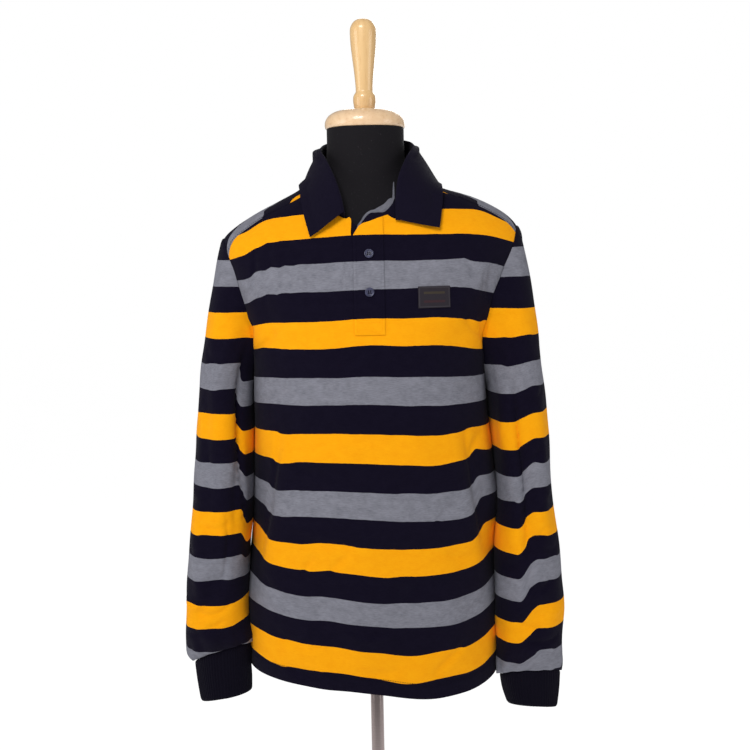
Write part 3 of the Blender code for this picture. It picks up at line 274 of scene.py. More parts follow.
# Collar: share of the way from an end round to the back's middle, then the fold line's x, y and
# height and the leaf edge's x, y and height, for the side at +X and for the side at -X
COLLAR_LEFT = np.array([
    (0.00, 0.0395, -0.0880, 1.4165, 0.0960, -0.0870, 1.4040),
    (0.12, 0.0400, -0.0830, 1.4450, 0.1000, -0.0690, 1.4300),
    (0.25, 0.0440, -0.0740, 1.4720, 0.1020, -0.0440, 1.4560),
    (0.42, 0.0560, -0.0480, 1.5000, 0.1020, -0.0080, 1.4660),
    (0.60, 0.0660, -0.0100, 1.5170, 0.0960, 0.0300, 1.4720),
    (0.78, 0.0560, 0.0340, 1.5280, 0.0700, 0.0580, 1.4780),
    (0.90, 0.0300, 0.0560, 1.5330, 0.0370, 0.0710, 1.4820),
    (1.00, 0.0000, 0.0620, 1.5350, 0.0000, 0.0760, 1.4840),
])
COLLAR_RIGHT = np.array([
    (0.00, 0.0300, -0.0880, 1.4280, 0.0750, -0.0940, 1.3950),
    (0.12, 0.0340, -0.0830, 1.4480, 0.0835, -0.0720, 1.4260),
    (0.25, 0.0410, -0.0740, 1.4700, 0.0880, -0.0440, 1.4540),
    (0.42, 0.0530, -0.0480, 1.4970, 0.0890, -0.0080, 1.4660),
    (0.60, 0.0620, -0.0090, 1.5140, 0.0850, 0.0300, 1.4720),
    (0.78, 0.0540, 0.0350, 1.5260, 0.0660, 0.0580, 1.4780),
    (0.90, 0.0300, 0.0560, 1.5330, 0.0370, 0.0710, 1.4820),
    (1.00, 0.0000, 0.0620, 1.5350, 0.0000, 0.0760, 1.4840),
])
COLLAR_FOLD_RADIUS = 0.0008
COLLAR_REST = 0.0050         # how far the leaf lies off the panels below it
COLLAR_BULGE = 0.0030        # how far the leaf's middle stands out
STAND_FOOT_RISE = 0.0012     # the stand's foot above the neckline's edge
STAND_FOOT_INSET = 0.0026    # the stand's foot inside the neckline, where the panel's edge is straight
COLLAR_ENDS_ANGLE = {-1: 6.9, +1: 8.7}   # degrees from the front's middle where the stand ends

# Placket, its facing, neck band, buttons and badge
PLACKET_OVER = dict(left=-0.0185, right=0.0215, bottom=1.268, top_left=1.3970, top_right=1.4210,
                    top=([-0.0185, -0.0165, -0.0111, -0.0060, 0.0051, 0.0136, 0.0215],
                         [1.3970, 1.3984, 1.4088, 1.4120, 1.4152, 1.4185, 1.4210]))
# The under placket is a real piece; it is given dark navy and widened under the opening so that it also
# stands for the opening's shade, as painted shade.
PLACKET_UNDER = dict(left=-0.0262, right=-0.0142, bottom=1.3760, top_left=1.4180, top_right=1.4130)
UNDER_REST = -0.0030         # the under placket lies behind the front, where the opening shows it
SEAM_INSET = 0.004           # from a strip's edges to its stitches
STRIP_REST = 0.0007          # how far a strip lies off the panel; the panel's facets come nearer

# Front end of the neck band, inside the neckline, and the placket's facing rolled open above it:
# x, bottom height, top height, distance in front of the form at the bottom and at the top
NECK_BAND = np.array([
    (-0.0080, 1.4040, 1.4127, 0.0026, 0.0028),
    (-0.0040, 1.4055, 1.4185, 0.0026, 0.0028),
    (0.0000, 1.4065, 1.4234, 0.0026, 0.0028),
    (0.0045, 1.4075, 1.4267, 0.0026, 0.0028),
    (0.0130, 1.4100, 1.4275, 0.0026, 0.0028),
    (0.0239, 1.4110, 1.4283, 0.0026, 0.0028),
    (0.0298, 1.4110, 1.4333, 0.0026, 0.0028),
    (0.0353, 1.4100, 1.4399, 0.0026, 0.0028),
    (0.0378, 1.4090, 1.4440, 0.0026, 0.0028),
])
PLACKET_FACING = np.array([
    (-0.0172, 1.3960, 1.4004, 0.0008, 0.0010),
    (-0.0160, 1.3978, 1.4030, 0.0008, 0.0010),
    (-0.0120, 1.4058, 1.4117, 0.0008, 0.0010),
    (-0.0080, 1.4115, 1.4172, 0.0008, 0.0010),
    (-0.0040, 1.4170, 1.4235, 0.0008, 0.0010),
    (0.0000, 1.4218, 1.4276, 0.0008, 0.0011),
    (0.0045, 1.4250, 1.4303, 0.0008, 0.0012),
    (0.0100, 1.4255, 1.4316, 0.0008, 0.0012),
    (0.0160, 1.4260, 1.4348, 0.0008, 0.0012),
    (0.0240, 1.4267, 1.4394, 0.0008, 0.0012),
    (0.0298, 1.4316, 1.4452, 0.0008, 0.0012),
    (0.0335, 1.4362, 1.4470, 0.0008, 0.0011),
    (0.0350, 1.4380, 1.4480, 0.0008, 0.0010),
    (0.0360, 1.4420, 1.4640, 0.0008, 0.0010),
    (0.0378, 1.4460, 1.4690, 0.0008, 0.0010),
])
BUTTON_HEIGHTS = (1.372, 1.323)
BUTTON_X = 0.002
BUTTON_RADIUS = 0.0062
BUTTON_THICKNESS = 0.0024
BADGE = dict(left=0.065, right=0.107, bottom=1.301, top_left=1.329, top_right=1.329)

# Stand
POLE_RADIUS = 0.0095
BASE_RADIUS = 0.150
BASE_THICKNESS = 0.014
NECK_TOP = 1.544



# ---------------------------------------------------------------- tables and curves
def smooth_column(table, column, at):
    """A table column as a smooth curve over its first column: cubic, with mean chord slopes."""
    stations = table[:, 0]
    values = table[:, column]
    chords = np.diff(values) / np.diff(stations)
    slopes = np.concatenate([chords[:1], (chords[1:] + chords[:-1]) / 2, chords[-1:]])
    low = np.clip(np.searchsorted(stations, at) - 1, 0, len(stations) - 2)
    step = stations[low + 1] - stations[low]
    share = np.clip((at - stations[low]) / step, 0.0, 1.0)
    rest = 1.0 - share
    return (values[low] * (1 + 2 * share) * rest ** 2
            + slopes[low] * step * share * rest ** 2
            + values[low + 1] * (3 - 2 * share) * share ** 2
            - slopes[low + 1] * step * share ** 2 * rest)


def signed_power(value, exponent):
    """The value's size to a power, with its sign kept."""
    return np.sign(value) * np.abs(value) ** exponent


def unit(vectors):
    """Each vector at length one."""
    return vectors / np.maximum(np.linalg.norm(vectors, axis=-1, keepdims=True), 1e-12)


def turned(x, y, degrees):
    """Points turned about the upright axis."""
    angle = np.radians(degrees)
    return x * np.cos(angle) - y * np.sin(angle), x * np.sin(angle) + y * np.cos(angle)


# ---------------------------------------------------------------- sections as surfaces
def section_point(table, squareness, angle, height):
    """The point of a stack of rounded sections at an angle (degrees, 270 in front) and a height."""
    angle = np.radians(angle)
    height = np.asarray(height, dtype=float) + 0.0 * angle
    half = np.where(np.cos(angle) < 0, smooth_column(table, 1, height), smooth_column(table, 2, height))
    depth = np.where(np.sin(angle) < 0, smooth_column(table, 3, height), smooth_column(table, 4, height))
    x = half * signed_power(np.cos(angle), 2 / squareness)
    y = depth * signed_power(np.sin(angle), 2 / squareness)
    x, y = turned(x, y, smooth_column(table, 5, height))
    return np.stack([x, y, height], axis=-1)


def section_level(table, squareness, points):
    """1 on the stack of sections, less inside it and more outside it."""
    height = points[..., 2]
    x, y = turned(points[..., 0], points[..., 1], -smooth_column(table, 5, height))
    half = np.where(x < 0, smooth_column(table, 1, height), smooth_column(table, 2, height))
    depth = np.where(y < 0, smooth_column(table, 3, height), smooth_column(table, 4, height))
    return ((np.abs(x) / half) ** squareness + (np.abs(y) / depth) ** squareness) ** (1 / squareness)


def section_slope(table, squareness, points):
    """The gradient of section_level, by small steps along each axis."""
    step = 1e-4
    columns = []
    for axis in range(3):
        shift = np.zeros(3)
        shift[axis] = step
        ahead = section_level(table, squareness, points + shift)
        behind = section_level(table, squareness, points - shift)
        columns.append((ahead - behind) / (2 * step))
    return np.stack(columns, axis=-1)


def held_clear(points, table, squareness, margin):
    """Points moved straight out of a stack of sections until they clear it by the margin."""
    points = np.array(points, dtype=float)
    for _ in range(4):
        slope = section_slope(table, squareness, points)
        steepness = np.linalg.norm(slope, axis=-1)
        distance = (section_level(table, squareness, points) - 1) / steepness
        push = np.maximum(margin - distance, 0.0)
        points = points + (push / steepness)[..., None] * slope
    return points



def fold_rise(folds, across, height):
    """Soft ridges and troughs: each is a bell across its line, fading out at the line's ends."""
    rise = np.zeros(np.broadcast(across, height).shape)
    for start_across, start_height, end_across, end_height, half_width, size in folds:
        line = np.array([end_across - start_across, end_height - start_height])
        length = np.hypot(*line)
        line = line / length
        along = (across - start_across) * line[0] + (height - start_height) * line[1]
        aside = (across - start_across) * line[1] - (height - start_height) * line[0]
        share = np.clip(along / length, -0.25, 1.25)
        fade = np.cos(np.clip(np.abs(share - 0.5) / 0.75, 0.0, 1.0) * math.pi / 2) ** 2
        rise = rise + size * fade * np.exp(-(aside / half_width) ** 2)
    return rise

# ---------------------------------------------------------------- creases, stripes and grain
# Columns of each crease: start across, start height, middle across, middle height, end across,
# end height, half width, rise (a trough is below 0), lean (one side proud, the other sunk), and
# pull: how much further up the cloth the stripes run on one side of the crease than on the other.
FRONT_CREASES = [
    (-0.122, 1.15, -0.138, 1.062, -0.16, 0.95, 0.0065, -0.0026, 0.0014, -0.004),
    (0.127, 1.14, 0.139, 1.066, 0.157, 0.95, 0.0065, -0.0026, -0.0014, 0.0045),
    (0.152, 1.128, 0.139, 1.105, 0.15, 1.082, 0.0055, -0.0026, 0.0, 0.003),
    (0.163, 1.355, 0.164, 1.332, 0.162, 1.308, 0.0045, -0.0022, 0.0012, 0.0),
    (0.155, 1.35, 0.156, 1.332, 0.155, 1.312, 0.0035, -0.0016, 0.0008, 0.0),
    (0.151, 1.29, 0.156, 1.262, 0.157, 1.232, 0.0055, -0.0026, 0.001, 0.003),
    (0.128, 1.288, 0.142, 1.268, 0.156, 1.255, 0.005, -0.0018, 0.001, 0.0015),
    (-0.158, 1.285, -0.163, 1.257, -0.168, 1.222, 0.0055, -0.003, -0.0014, 0.002),
    (-0.128, 1.275, -0.142, 1.256, -0.16, 1.24, 0.0055, -0.002, 0.001, 0.0015),
    (-0.141, 1.395, -0.131, 1.357, -0.143, 1.31, 0.0045, -0.0014, 0.0012, 0.0028),
    (-0.122, 1.4, -0.113, 1.36, -0.118, 1.31, 0.0045, 0.0012, 0.0012, 0.0024),
    (-0.152, 1.38, -0.154, 1.345, -0.16, 1.312, 0.0045, -0.0014, 0.001, 0.0022),
    (-0.098, 1.385, -0.095, 1.35, -0.1, 1.322, 0.005, 0.0008, 0.0008, 0.0012),
    (0.128, 1.392, 0.136, 1.366, 0.134, 1.33, 0.005, -0.0012, 0.001, -0.002),
    (0.1, 1.345, 0.112, 1.33, 0.12, 1.318, 0.005, 0.001, 0.0006, 0.0),
    (-0.06, 1.15, -0.03, 1.13, 0.02, 1.122, 0.008, -0.0013, 0.0009, 0.0),
    (0.036, 1.19, 0.07, 1.176, 0.112, 1.18, 0.007, -0.0012, 0.0008, 0.0008),
    (-0.112, 1.205, -0.08, 1.196, -0.04, 1.2, 0.007, 0.0011, 0.0008, 0.0008),
    (0.03, 1.06, 0.075, 1.035, 0.118, 1.03, 0.008, -0.0015, 0.001, 0.001),
    (-0.128, 1.022, -0.112, 1.042, -0.094, 1.056, 0.0055, -0.0018, 0.001, 0.0012),
    (-0.11, 1.1, -0.09, 1.085, -0.06, 1.08, 0.006, -0.0013, 0.0009, 0.001),
    (-0.11, 1.0, -0.07, 0.985, -0.02, 0.985, 0.0075, -0.0016, 0.0009, 0.001),
    (-0.096, 0.94, -0.088, 0.958, -0.08, 0.97, 0.005, -0.0015, 0.0008, 0.0012),
    (-0.06, 0.948, -0.044, 0.964, -0.028, 0.974, 0.0055, -0.0015, 0.0008, 0.0012),
    (0.01, 0.955, 0.03, 0.94, 0.058, 0.938, 0.007, 0.0012, 0.0008, 0.0008),
    (0.084, 1.014, 0.102, 1.028, 0.122, 1.038, 0.0055, -0.0018, 0.001, 0.0012),
    (0.096, 0.972, 0.118, 0.958, 0.14, 0.96, 0.006, -0.0016, 0.001, 0.0014),
    (-0.152, 0.934, -0.118, 0.903, -0.06, 0.894, 0.007, -0.0018, 0.001, 0.0014),
    (-0.142, 0.866, -0.11, 0.846, -0.07, 0.842, 0.0065, -0.0015, 0.0009, 0.0012),
    (-0.04, 0.872, -0.01, 0.86, 0.024, 0.866, 0.0065, 0.0012, 0.0008, 0.001),
    (0.06, 0.905, 0.105, 0.88, 0.15, 0.885, 0.007, -0.0016, 0.001, 0.0012),
    (0.078, 0.798, 0.102, 0.818, 0.128, 0.842, 0.006, -0.0018, 0.001, 0.0014),
    (0.016, 0.9, 0.032, 0.889, 0.05, 0.893, 0.005, 0.0011, 0.0008, 0.0008),
    (-0.128, 0.82, -0.104, 0.806, -0.074, 0.808, 0.006, -0.0013, 0.0009, 0.001),
    (-0.03, 0.816, 0.0, 0.806, 0.036, 0.81, 0.006, -0.0012, 0.0008, 0.0008),
]
BACK_CREASES = [
    (-0.12, 1.18, -0.085, 1.12, -0.07, 1.03, 0.008, -0.0026, 0.0014, 0.003),
    (0.122, 1.175, 0.09, 1.11, 0.078, 1.02, 0.008, -0.0026, -0.0014, -0.003),
    (-0.15, 1.06, -0.14, 1.0, -0.15, 0.93, 0.007, -0.0022, 0.0012, 0.002),
    (0.15, 1.07, 0.142, 1.005, 0.15, 0.94, 0.007, -0.0022, -0.0012, -0.002),
    (-0.06, 1.4, -0.02, 1.39, 0.05, 1.398, 0.01, 0.0012, 0.0008, 0.0),
    (-0.1, 1.23, -0.03, 1.205, 0.06, 1.212, 0.009, -0.0016, 0.001, 0.0012),
    (0.02, 0.96, 0.035, 0.9, 0.025, 0.84, 0.0075, -0.002, 0.001, 0.0016),
    (-0.075, 0.95, -0.085, 0.89, -0.075, 0.83, 0.0075, -0.002, 0.001, 0.0016),
    (0.104, 0.93, 0.094, 0.88, 0.1, 0.826, 0.0065, -0.0018, 0.001, -0.0014),
    (-0.15, 1.292, -0.128, 1.268, -0.098, 1.262, 0.006, -0.002, 0.001, 0.0012),
    (0.152, 1.296, 0.13, 1.27, 0.1, 1.26, 0.006, -0.002, 0.001, 0.0012),
    (-0.12, 1.33, -0.07, 1.318, -0.01, 1.322, 0.008, 0.0013, 0.0008, 0.0008),
    (0.03, 1.3, 0.08, 1.312, 0.128, 1.334, 0.007, -0.0013, 0.0008, 0.0008),
    (-0.04, 1.15, 0.01, 1.136, 0.06, 1.146, 0.008, -0.0016, 0.001, 0.001),
    (-0.02, 1.085, 0.024, 1.066, 0.052, 1.07, 0.007, -0.0015, 0.001, 0.001),
    (-0.13, 1.02, -0.1, 1.0, -0.06, 1.002, 0.007, -0.0016, 0.001, 0.0012),
    (0.11, 1.022, 0.074, 0.998, 0.03, 1.0, 0.007, -0.0016, 0.001, 0.0012),
    (-0.052, 1.0, -0.03, 0.962, -0.034, 0.92, 0.0065, -0.0016, 0.001, 0.0012),
    (-0.14, 0.89, -0.118, 0.868, -0.092, 0.866, 0.006, -0.0015, 0.001, 0.001),
    (0.062, 0.9, 0.082, 0.872, 0.12, 0.868, 0.006, -0.0015, 0.001, 0.001),
]
# On the sleeves "across" is the turn round the arm in degrees: 0 outer side, 90 front, 180 inner side.
SLEEVE_CREASES = {
    -1: [
        (114.0, 1.31, 127.0, 1.15, 146.0, 0.985, 0.006, -0.0026, -0.0022, 0.0),
        (112.0, 1.345, 118.0, 1.32, 130.0, 1.298, 0.005, -0.0018, 0.001, 0.0025),
        (96.0, 1.29, 92.0, 1.23, 80.0, 1.17, 0.008, 0.0013, 0.001, 0.001),
        (46.0, 1.242, 70.0, 1.222, 98.0, 1.226, 0.0065, -0.0013, 0.0009, 0.001),
        (38.0, 1.16, 66.0, 1.148, 104.0, 1.158, 0.0065, -0.0015, 0.0009, 0.0012),
        (60.0, 1.09, 84.0, 1.07, 112.0, 1.072, 0.0065, -0.0017, 0.001, 0.0012),
        (28.0, 1.052, 50.0, 1.04, 76.0, 1.044, 0.006, 0.0013, 0.0008, 0.001),
        (50.0, 1.005, 80.0, 0.985, 118.0, 0.992, 0.0065, -0.0018, 0.001, 0.0012),
        (30.0, 0.968, 54.0, 0.954, 84.0, 0.96, 0.006, -0.0014, 0.0008, 0.0012),
        (62.0, 0.925, 88.0, 0.908, 120.0, 0.918, 0.006, -0.0018, 0.001, 0.0014),
        (26.0, 0.9, 52.0, 0.882, 86.0, 0.89, 0.006, 0.0014, 0.0008, 0.001),
        (58.0, 0.872, 90.0, 0.858, 126.0, 0.872, 0.0055, -0.0016, 0.0009, 0.0014),
        (100.0, 1.01, 110.0, 0.95, 100.0, 0.885, 0.006, -0.0018, 0.001, 0.0),
        (30.0, 0.846, 70.0, 0.836, 112.0, 0.85, 0.005, -0.0015, 0.0008, 0.0016),
        (250.0, 1.18, 262.0, 1.08, 258.0, 0.98, 0.007, -0.0024, 0.0014, 0.0),
        (285.0, 1.06, 262.0, 1.035, 240.0, 1.04, 0.0065, -0.0018, 0.001, 0.0012),
        (290.0, 0.96, 265.0, 0.94, 238.0, 0.945, 0.0065, -0.0018, 0.001, 0.0012),
        (296.0, 1.13, 272.0, 1.112, 248.0, 1.118, 0.0065, -0.0016, 0.001, 0.0012),
        (300.0, 0.88, 272.0, 0.862, 240.0, 0.868, 0.006, -0.0016, 0.001, 0.0012),
        (330.0, 1.01, 312.0, 0.992, 292.0, 0.996, 0.006, -0.0014, 0.0008, 0.001),
    ],
    +1: [
        (108.0, 1.2, 98.0, 1.05, 92.0, 0.88, 0.0065, -0.0026, 0.0022, 0.0),
        (128.0, 1.29, 118.0, 1.25, 112.0, 1.2, 0.006, -0.002, 0.001, 0.0015),
        (100.0, 1.285, 96.0, 1.26, 94.0, 1.225, 0.005, -0.0017, 0.001, 0.001),
        (52.0, 1.262, 74.0, 1.246, 100.0, 1.252, 0.006, 0.0013, 0.0008, 0.001),
        (40.0, 1.18, 64.0, 1.164, 92.0, 1.17, 0.0065, -0.0015, 0.0009, 0.0012),
        (58.0, 1.1, 78.0, 1.078, 100.0, 1.08, 0.0065, -0.0018, 0.001, 0.0012),
        (34.0, 1.05, 56.0, 1.034, 82.0, 1.04, 0.006, 0.0013, 0.0008, 0.001),
        (96.0, 1.046, 116.0, 1.024, 140.0, 1.02, 0.006, -0.0015, 0.0009, 0.0012),
        (60.0, 0.99, 80.0, 0.968, 104.0, 0.975, 0.0065, -0.0018, 0.001, 0.0012),
        (30.0, 0.962, 50.0, 0.948, 74.0, 0.954, 0.006, -0.0014, 0.0008, 0.0012),
        (56.0, 0.915, 78.0, 0.893, 104.0, 0.9, 0.006, -0.0018, 0.001, 0.0012),
        (98.0, 0.946, 118.0, 0.928, 142.0, 0.93, 0.006, -0.0015, 0.0009, 0.0012),
        (28.0, 0.876, 54.0, 0.862, 84.0, 0.868, 0.0055, 0.0014, 0.0008, 0.0012),
        (118.0, 0.86, 100.0, 0.84, 70.0, 0.838, 0.0055, -0.002, 0.001, 0.0014),
        (40.0, 0.824, 76.0, 0.812, 116.0, 0.822, 0.005, -0.0018, 0.0008, 0.0018),
        (250.0, 1.17, 264.0, 1.07, 260.0, 0.96, 0.007, -0.0024, 0.0014, 0.0),
        (288.0, 1.04, 264.0, 1.012, 240.0, 1.02, 0.0065, -0.0018, 0.001, 0.0012),
        (298.0, 1.12, 272.0, 1.1, 246.0, 1.108, 0.0065, -0.0016, 0.001, 0.0012),
        (300.0, 0.94, 272.0, 0.92, 240.0, 0.926, 0.006, -0.0016, 0.001, 0.0012),
        (296.0, 0.866, 268.0, 0.85, 236.0, 0.856, 0.006, -0.0016, 0.001, 0.0012),
        (332.0, 1.0, 312.0, 0.984, 290.0, 0.988, 0.006, -0.0014, 0.0008, 0.001),
    ],
}
CREASE_DEPTH = 1.5           # how many times deeper the creases are built than their tables say
GATHER_RISE = 0.0016         # ripple of the sleeve's foot, where it is sewn into the narrower cuff
GATHER_REACH = 0.022
GATHERS_AROUND = 13

# Knit stripes: from the hem navy, then orange, navy, grey and navy again, each a quarter of a period
STRIPE_PERIOD = 0.148
STRIPE_START = 0.025

# Heights at the front's middle where the stripes change, and how far up the cloth each change lies
STRIPE_HEIGHTS = np.array([0.778, 0.801, 0.838, 0.874, 0.908, 0.946, 0.983, 1.021, 1.058, 1.097,
                           1.137, 1.177, 1.214, 1.255, 1.290, 1.328, 1.364, 1.398, 1.432, 1.466])
STRIPE_FLATS = np.concatenate([[0.0], STRIPE_START + STRIPE_PERIOD / 4 * np.arange(19)])

# How much lower the stripes hang than at the front's middle, in millimetres: place across, then the
# droop at each of DROOP_HEIGHTS
DROOP_HEIGHTS = np.array([0.801, 0.874, 0.946, 1.021, 1.097, 1.177, 1.255, 1.328, 1.380, 1.432])
DROOP = np.array([
    (-0.190, -22, -21, -25, -14, 0, 8, 22, 24, 31, 52),
    (-0.165, -21, -21, -20, -13, -1, 7, 13, 20, 23, 35),
    (-0.142, -15, -18, -12, -5, 0, 3, 7, 9, 11, 16),
    (-0.103, -13, -12, -6, -5, -2, 1, 5, 5, 6, 8),
    (-0.054, -11, -9, -7, -5, -3, 0, 4, 3, 2, 4),
    (0.000, -2, -2, 1, -1, -1, 0, 0, 1, 0, 0),
    (0.043, 9, 3, 4, 2, 2, 2, 2, 1, 1, 1),
    (0.093, 6, 4, 4, 4, 5, 5, 3, 0, 1, 2),
    (0.132, 6, 2, 0, 0, -4, 7, 9, 2, 1, 3),
    (0.148, 4, -1, -3, -13, -1, 8, 12, 6, 2, 4),
    (0.165, -2, -6, -7, -16, 0, 10, 17, 10, 4, 10),
    (0.205, -2, -6, -7, -16, 0, 12, 24, 18, 15, 38),
])
BACK_DROOP_FROM = 0.050      # nearer the back's middle than this the stripes hang level
BACK_SEAM_RUN = np.array([   # share of the back's top edge from +X to -X, distance up the cloth
    (0.000, 0.696),
    (0.090, 0.712),
    (0.150, 0.728),
    (0.225, 0.765),
    (0.292, 0.786),
    (0.400, 0.730),
    (0.500, 0.716),
    (0.600, 0.730),
    (0.708, 0.786),
    (0.775, 0.765),
    (0.840, 0.728),
    (0.910, 0.712),
    (1.000, 0.696),
])

# Run of the sleeves' stripes: height, how much further up the cloth the outer side and the inner
# side are there than the even rise, in millimetres, and the turns between which one goes over to
# the other
SLEEVE_RUN = {
    -1: np.array([
        (0.800, -41, -52, 95, 160),
        (0.880, -37, -45, 98, 160),
        (0.935, -35, -31, 138, 162),
        (1.000, -24, 2, 136, 154),
        (1.060, -18, 8, 130, 145),
        (1.130, -11, 18, 122, 137),
        (1.240, -5, 22, 112, 130),
        (1.315, -2, 15, 85, 138),
        (1.400, -2, 10, 85, 138),
    ]),
    +1: np.array([
        (0.780, -46, -26, 80, 112),
        (0.860, -42, -12, 82, 110),
        (0.920, -37, -4, 82, 110),
        (0.980, -27, -1, 82, 110),
        (1.030, -23, 1, 80, 110),
        (1.100, -17, 1, 73, 110),
        (1.190, -14, -4, 68, 110),
        (1.260, -10, -8, 60, 110),
        (1.300, -10, -12, 60, 110),
        (1.335, -16, -16, 60, 110),
        (1.365, -19, -18, 60, 110),
        (1.410, -22, -20, 60, 110),
    ]),
}
SLEEVE_TOP_RUN = STRIPE_START + 5 * STRIPE_PERIOD - 0.003   # the sleeve's cap is cut within a navy stripe
SLEEVE_RISE = {-1: (1.031, 0.780), +1: (1.010, 0.760)}   # cloth per height, and the height where it starts
SLEEVE_FLAT_START = STRIPE_PERIOD * 0.75 + 0.013         # the sleeve's foot is cut through a grey stripe

# Grids: columns across, rows below and beside the armholes, rings and turns of the sleeves
PANEL_COLUMNS = 192
SEAM_SHARE = 7 / 24
FRONT_UNDER_ROWS = 110
FRONT_ARM_ROWS = 66
BACK_UNDER_ROWS = 98
BACK_ARM_ROWS = 77
SIDE_SEAM_SHIFT = 0.06
FRONT_LAGS = (1.0, 2.2)      # powers by which a panel's rows take on its top's angles and heights
BACK_LAGS = (7.0, 3.0)
UNDERARM_DIP = 0.013         # how far the rows dip beside the armholes' feet
DIP_SHARE = 0.22             # share of the columns that the dip takes
DIP_ROWS = 11.0              # and how many rows it fades over, up and down
OPENING_ANGLE = -3.8         # degrees from the front's middle to the placket's opening
OPENING_COLUMNS = (0.3, 0.7)             # shares of the neckline's columns that stand close there,
OPENING_REACH = (-0.06, 0.08)            # and how much of its length they span to either side
FOOT_HOLD = 0.012            # height above the cuff over which a sleeve's folds don't sink in
SLEEVE_RINGS = 175
SLEEVE_FRONT_TURNS = 54
SLEEVE_BACK_TURNS = 66


def bent_line(crease):
    """Points of a bent line through a crease's start, middle and end: a parabola of its own run."""
    start, middle, end = np.array(crease[0:2]), np.array(crease[2:4]), np.array(crease[4:6])
    share = np.linspace(0, 1, 25)[:, None]
    handle = 2 * middle - (start + end) / 2
    return start * (1 - share) ** 2 + handle * 2 * share * (1 - share) + end * share ** 2


def crease_rise(creases, across, height, across_size=1.0):
    """Rise and pull of creases: a bell across each bent line plus the bell's slope, fading at its ends."""
    across = across * across_size
    rise = np.zeros(np.broadcast(across, height).shape)
    pull = np.zeros(rise.shape)
    for crease in creases:
        line = bent_line(crease) * np.array([across_size, 1.0])
        half_width, size, lean, drag = crease[6:]
        aside = across[..., None] - line[:, 0]
        up = height[..., None] - line[:, 1]
        nearest = np.argmin(aside ** 2 + up ** 2, axis=-1)
        run = unit(np.gradient(line, axis=0))[nearest]
        aside = np.take_along_axis(aside, nearest[..., None], -1)[..., 0]
        up = np.take_along_axis(up, nearest[..., None], -1)[..., 0]
        distance = (aside * run[..., 1] - up * run[..., 0]) / half_width
        beyond = np.sqrt(np.maximum(aside ** 2 + up ** 2 - (distance * half_width) ** 2, 0)) / half_width
        share = nearest / (len(line) - 1)
        fade = np.maximum(4 * share * (1 - share), 0) ** 0.6 * np.exp(-beyond ** 2)
        bell = np.exp(-distance ** 2)
        rise = rise + CREASE_DEPTH * fade * bell * (size + lean * 1.6 * distance)
        pull = pull + fade * drag * np.tanh(2 * distance) * np.exp(-(distance / 4) ** 2)
    return rise, pull


def ripple(across, height):
    """The slight unevenness of worn knit: three crossing waves of 50 to 90 mm, under 1 mm high."""
    return 0.00035 * (np.sin(across * 96 + height * 41 + 0.7)
                      + np.sin(across * 58 - height * 83 + 2.1)
                      + np.sin(across * 131 + height * 24 + 4.0) * 0.6)


def soft_step(value, start, end):
    """0 before the start, 1 after the end, smooth between them."""
    share = np.clip((value - start) / (end - start), 0.0, 1.0)
    return share * share * (3 - 2 * share)


def body_rise(place):
    """How far folds, creases and ripples lift the body's cloth at a place on or near its sections."""
    across, level = place[..., 0], place[..., 2]
    front = place[..., 1] < 0
    side_fade = np.clip(np.abs(place[..., 1]) / 0.05, 0.0, 1.0) ** 2
    near_fade = np.clip(np.abs(place[..., 1]) / 0.02, 0.0, 1.0) ** 2
    fold = np.where(front, fold_rise(FRONT_FOLDS, across, level), fold_rise(BACK_FOLDS, across, level))
    crease = np.where(front, crease_rise(FRONT_CREASES, across, level)[0],
                      crease_rise(BACK_CREASES, across, level)[0])
    calm = 1 - soft_step(level, 1.400, 1.450)
    return fold * side_fade + (crease + ripple(across, level)) * near_fade * calm


def shirt_surface(angle, height, lift=0.0):
    """The body cloth's inner face with folds and creases, held clear of the dress form, plus a lift."""
    base = section_point(SHIRT_SECTIONS, SQUARENESS, angle, height)
    outward = unit(section_slope(SHIRT_SECTIONS, SQUARENESS, base))
    base = base + body_rise(base)[..., None] * outward
    base = held_clear(base, FORM_SECTIONS, FORM_SQUARENESS, CLOTH_REST)
    return base + np.asarray(lift)[..., None] * outward, outward


def stripe_run(place, back=False):
    """How far up the cloth a point of the body lies, from its height and the stripes' droop there."""
    across, height = place[..., 0], place[..., 2]
    places = np.clip(across, DROOP[0, 0], DROOP[-1, 0])
    by_height = np.stack([smooth_column(DROOP, column, places)
                          for column in range(1, DROOP.shape[1])], axis=-1)
    droop = height * 0.0
    for row in range(len(DROOP_HEIGHTS) - 1):
        share = soft_step(height, DROOP_HEIGHTS[row], DROOP_HEIGHTS[row + 1])
        step = by_height[..., row + 1] - by_height[..., row]
        droop = droop + step * share
    droop = (droop + by_height[..., 0]) / 1000
    if back:
        droop = droop * soft_step(np.abs(across), BACK_DROOP_FROM, 0.165)
    return np.interp(height + droop, STRIPE_HEIGHTS, STRIPE_FLATS)


# ---------------------------------------------------------------- places on the panels
def front_angle(x, height):
    """The angle at which the front's section reaches a place x across."""
    half = np.where(x < 0, smooth_column(SHIRT_SECTIONS, 1, height), smooth_column(SHIRT_SECTIONS, 2, height))
    return 360.0 - np.degrees(np.arccos(signed_power(x / half, SQUARENESS / 2)))


def side_angle(side, depth_toward_back, height):
    """The angle of the section's point at a depth, on the side at +X (side 1) or -X (side -1)."""
    reach = np.where(depth_toward_back < 0, smooth_column(SHIRT_SECTIONS, 3, height),
                     smooth_column(SHIRT_SECTIONS, 4, height))
    lean = np.degrees(np.arcsin(np.clip(signed_power(depth_toward_back / reach, SQUARENESS / 2), -1, 1)))
    return lean if side > 0 else 180.0 - lean


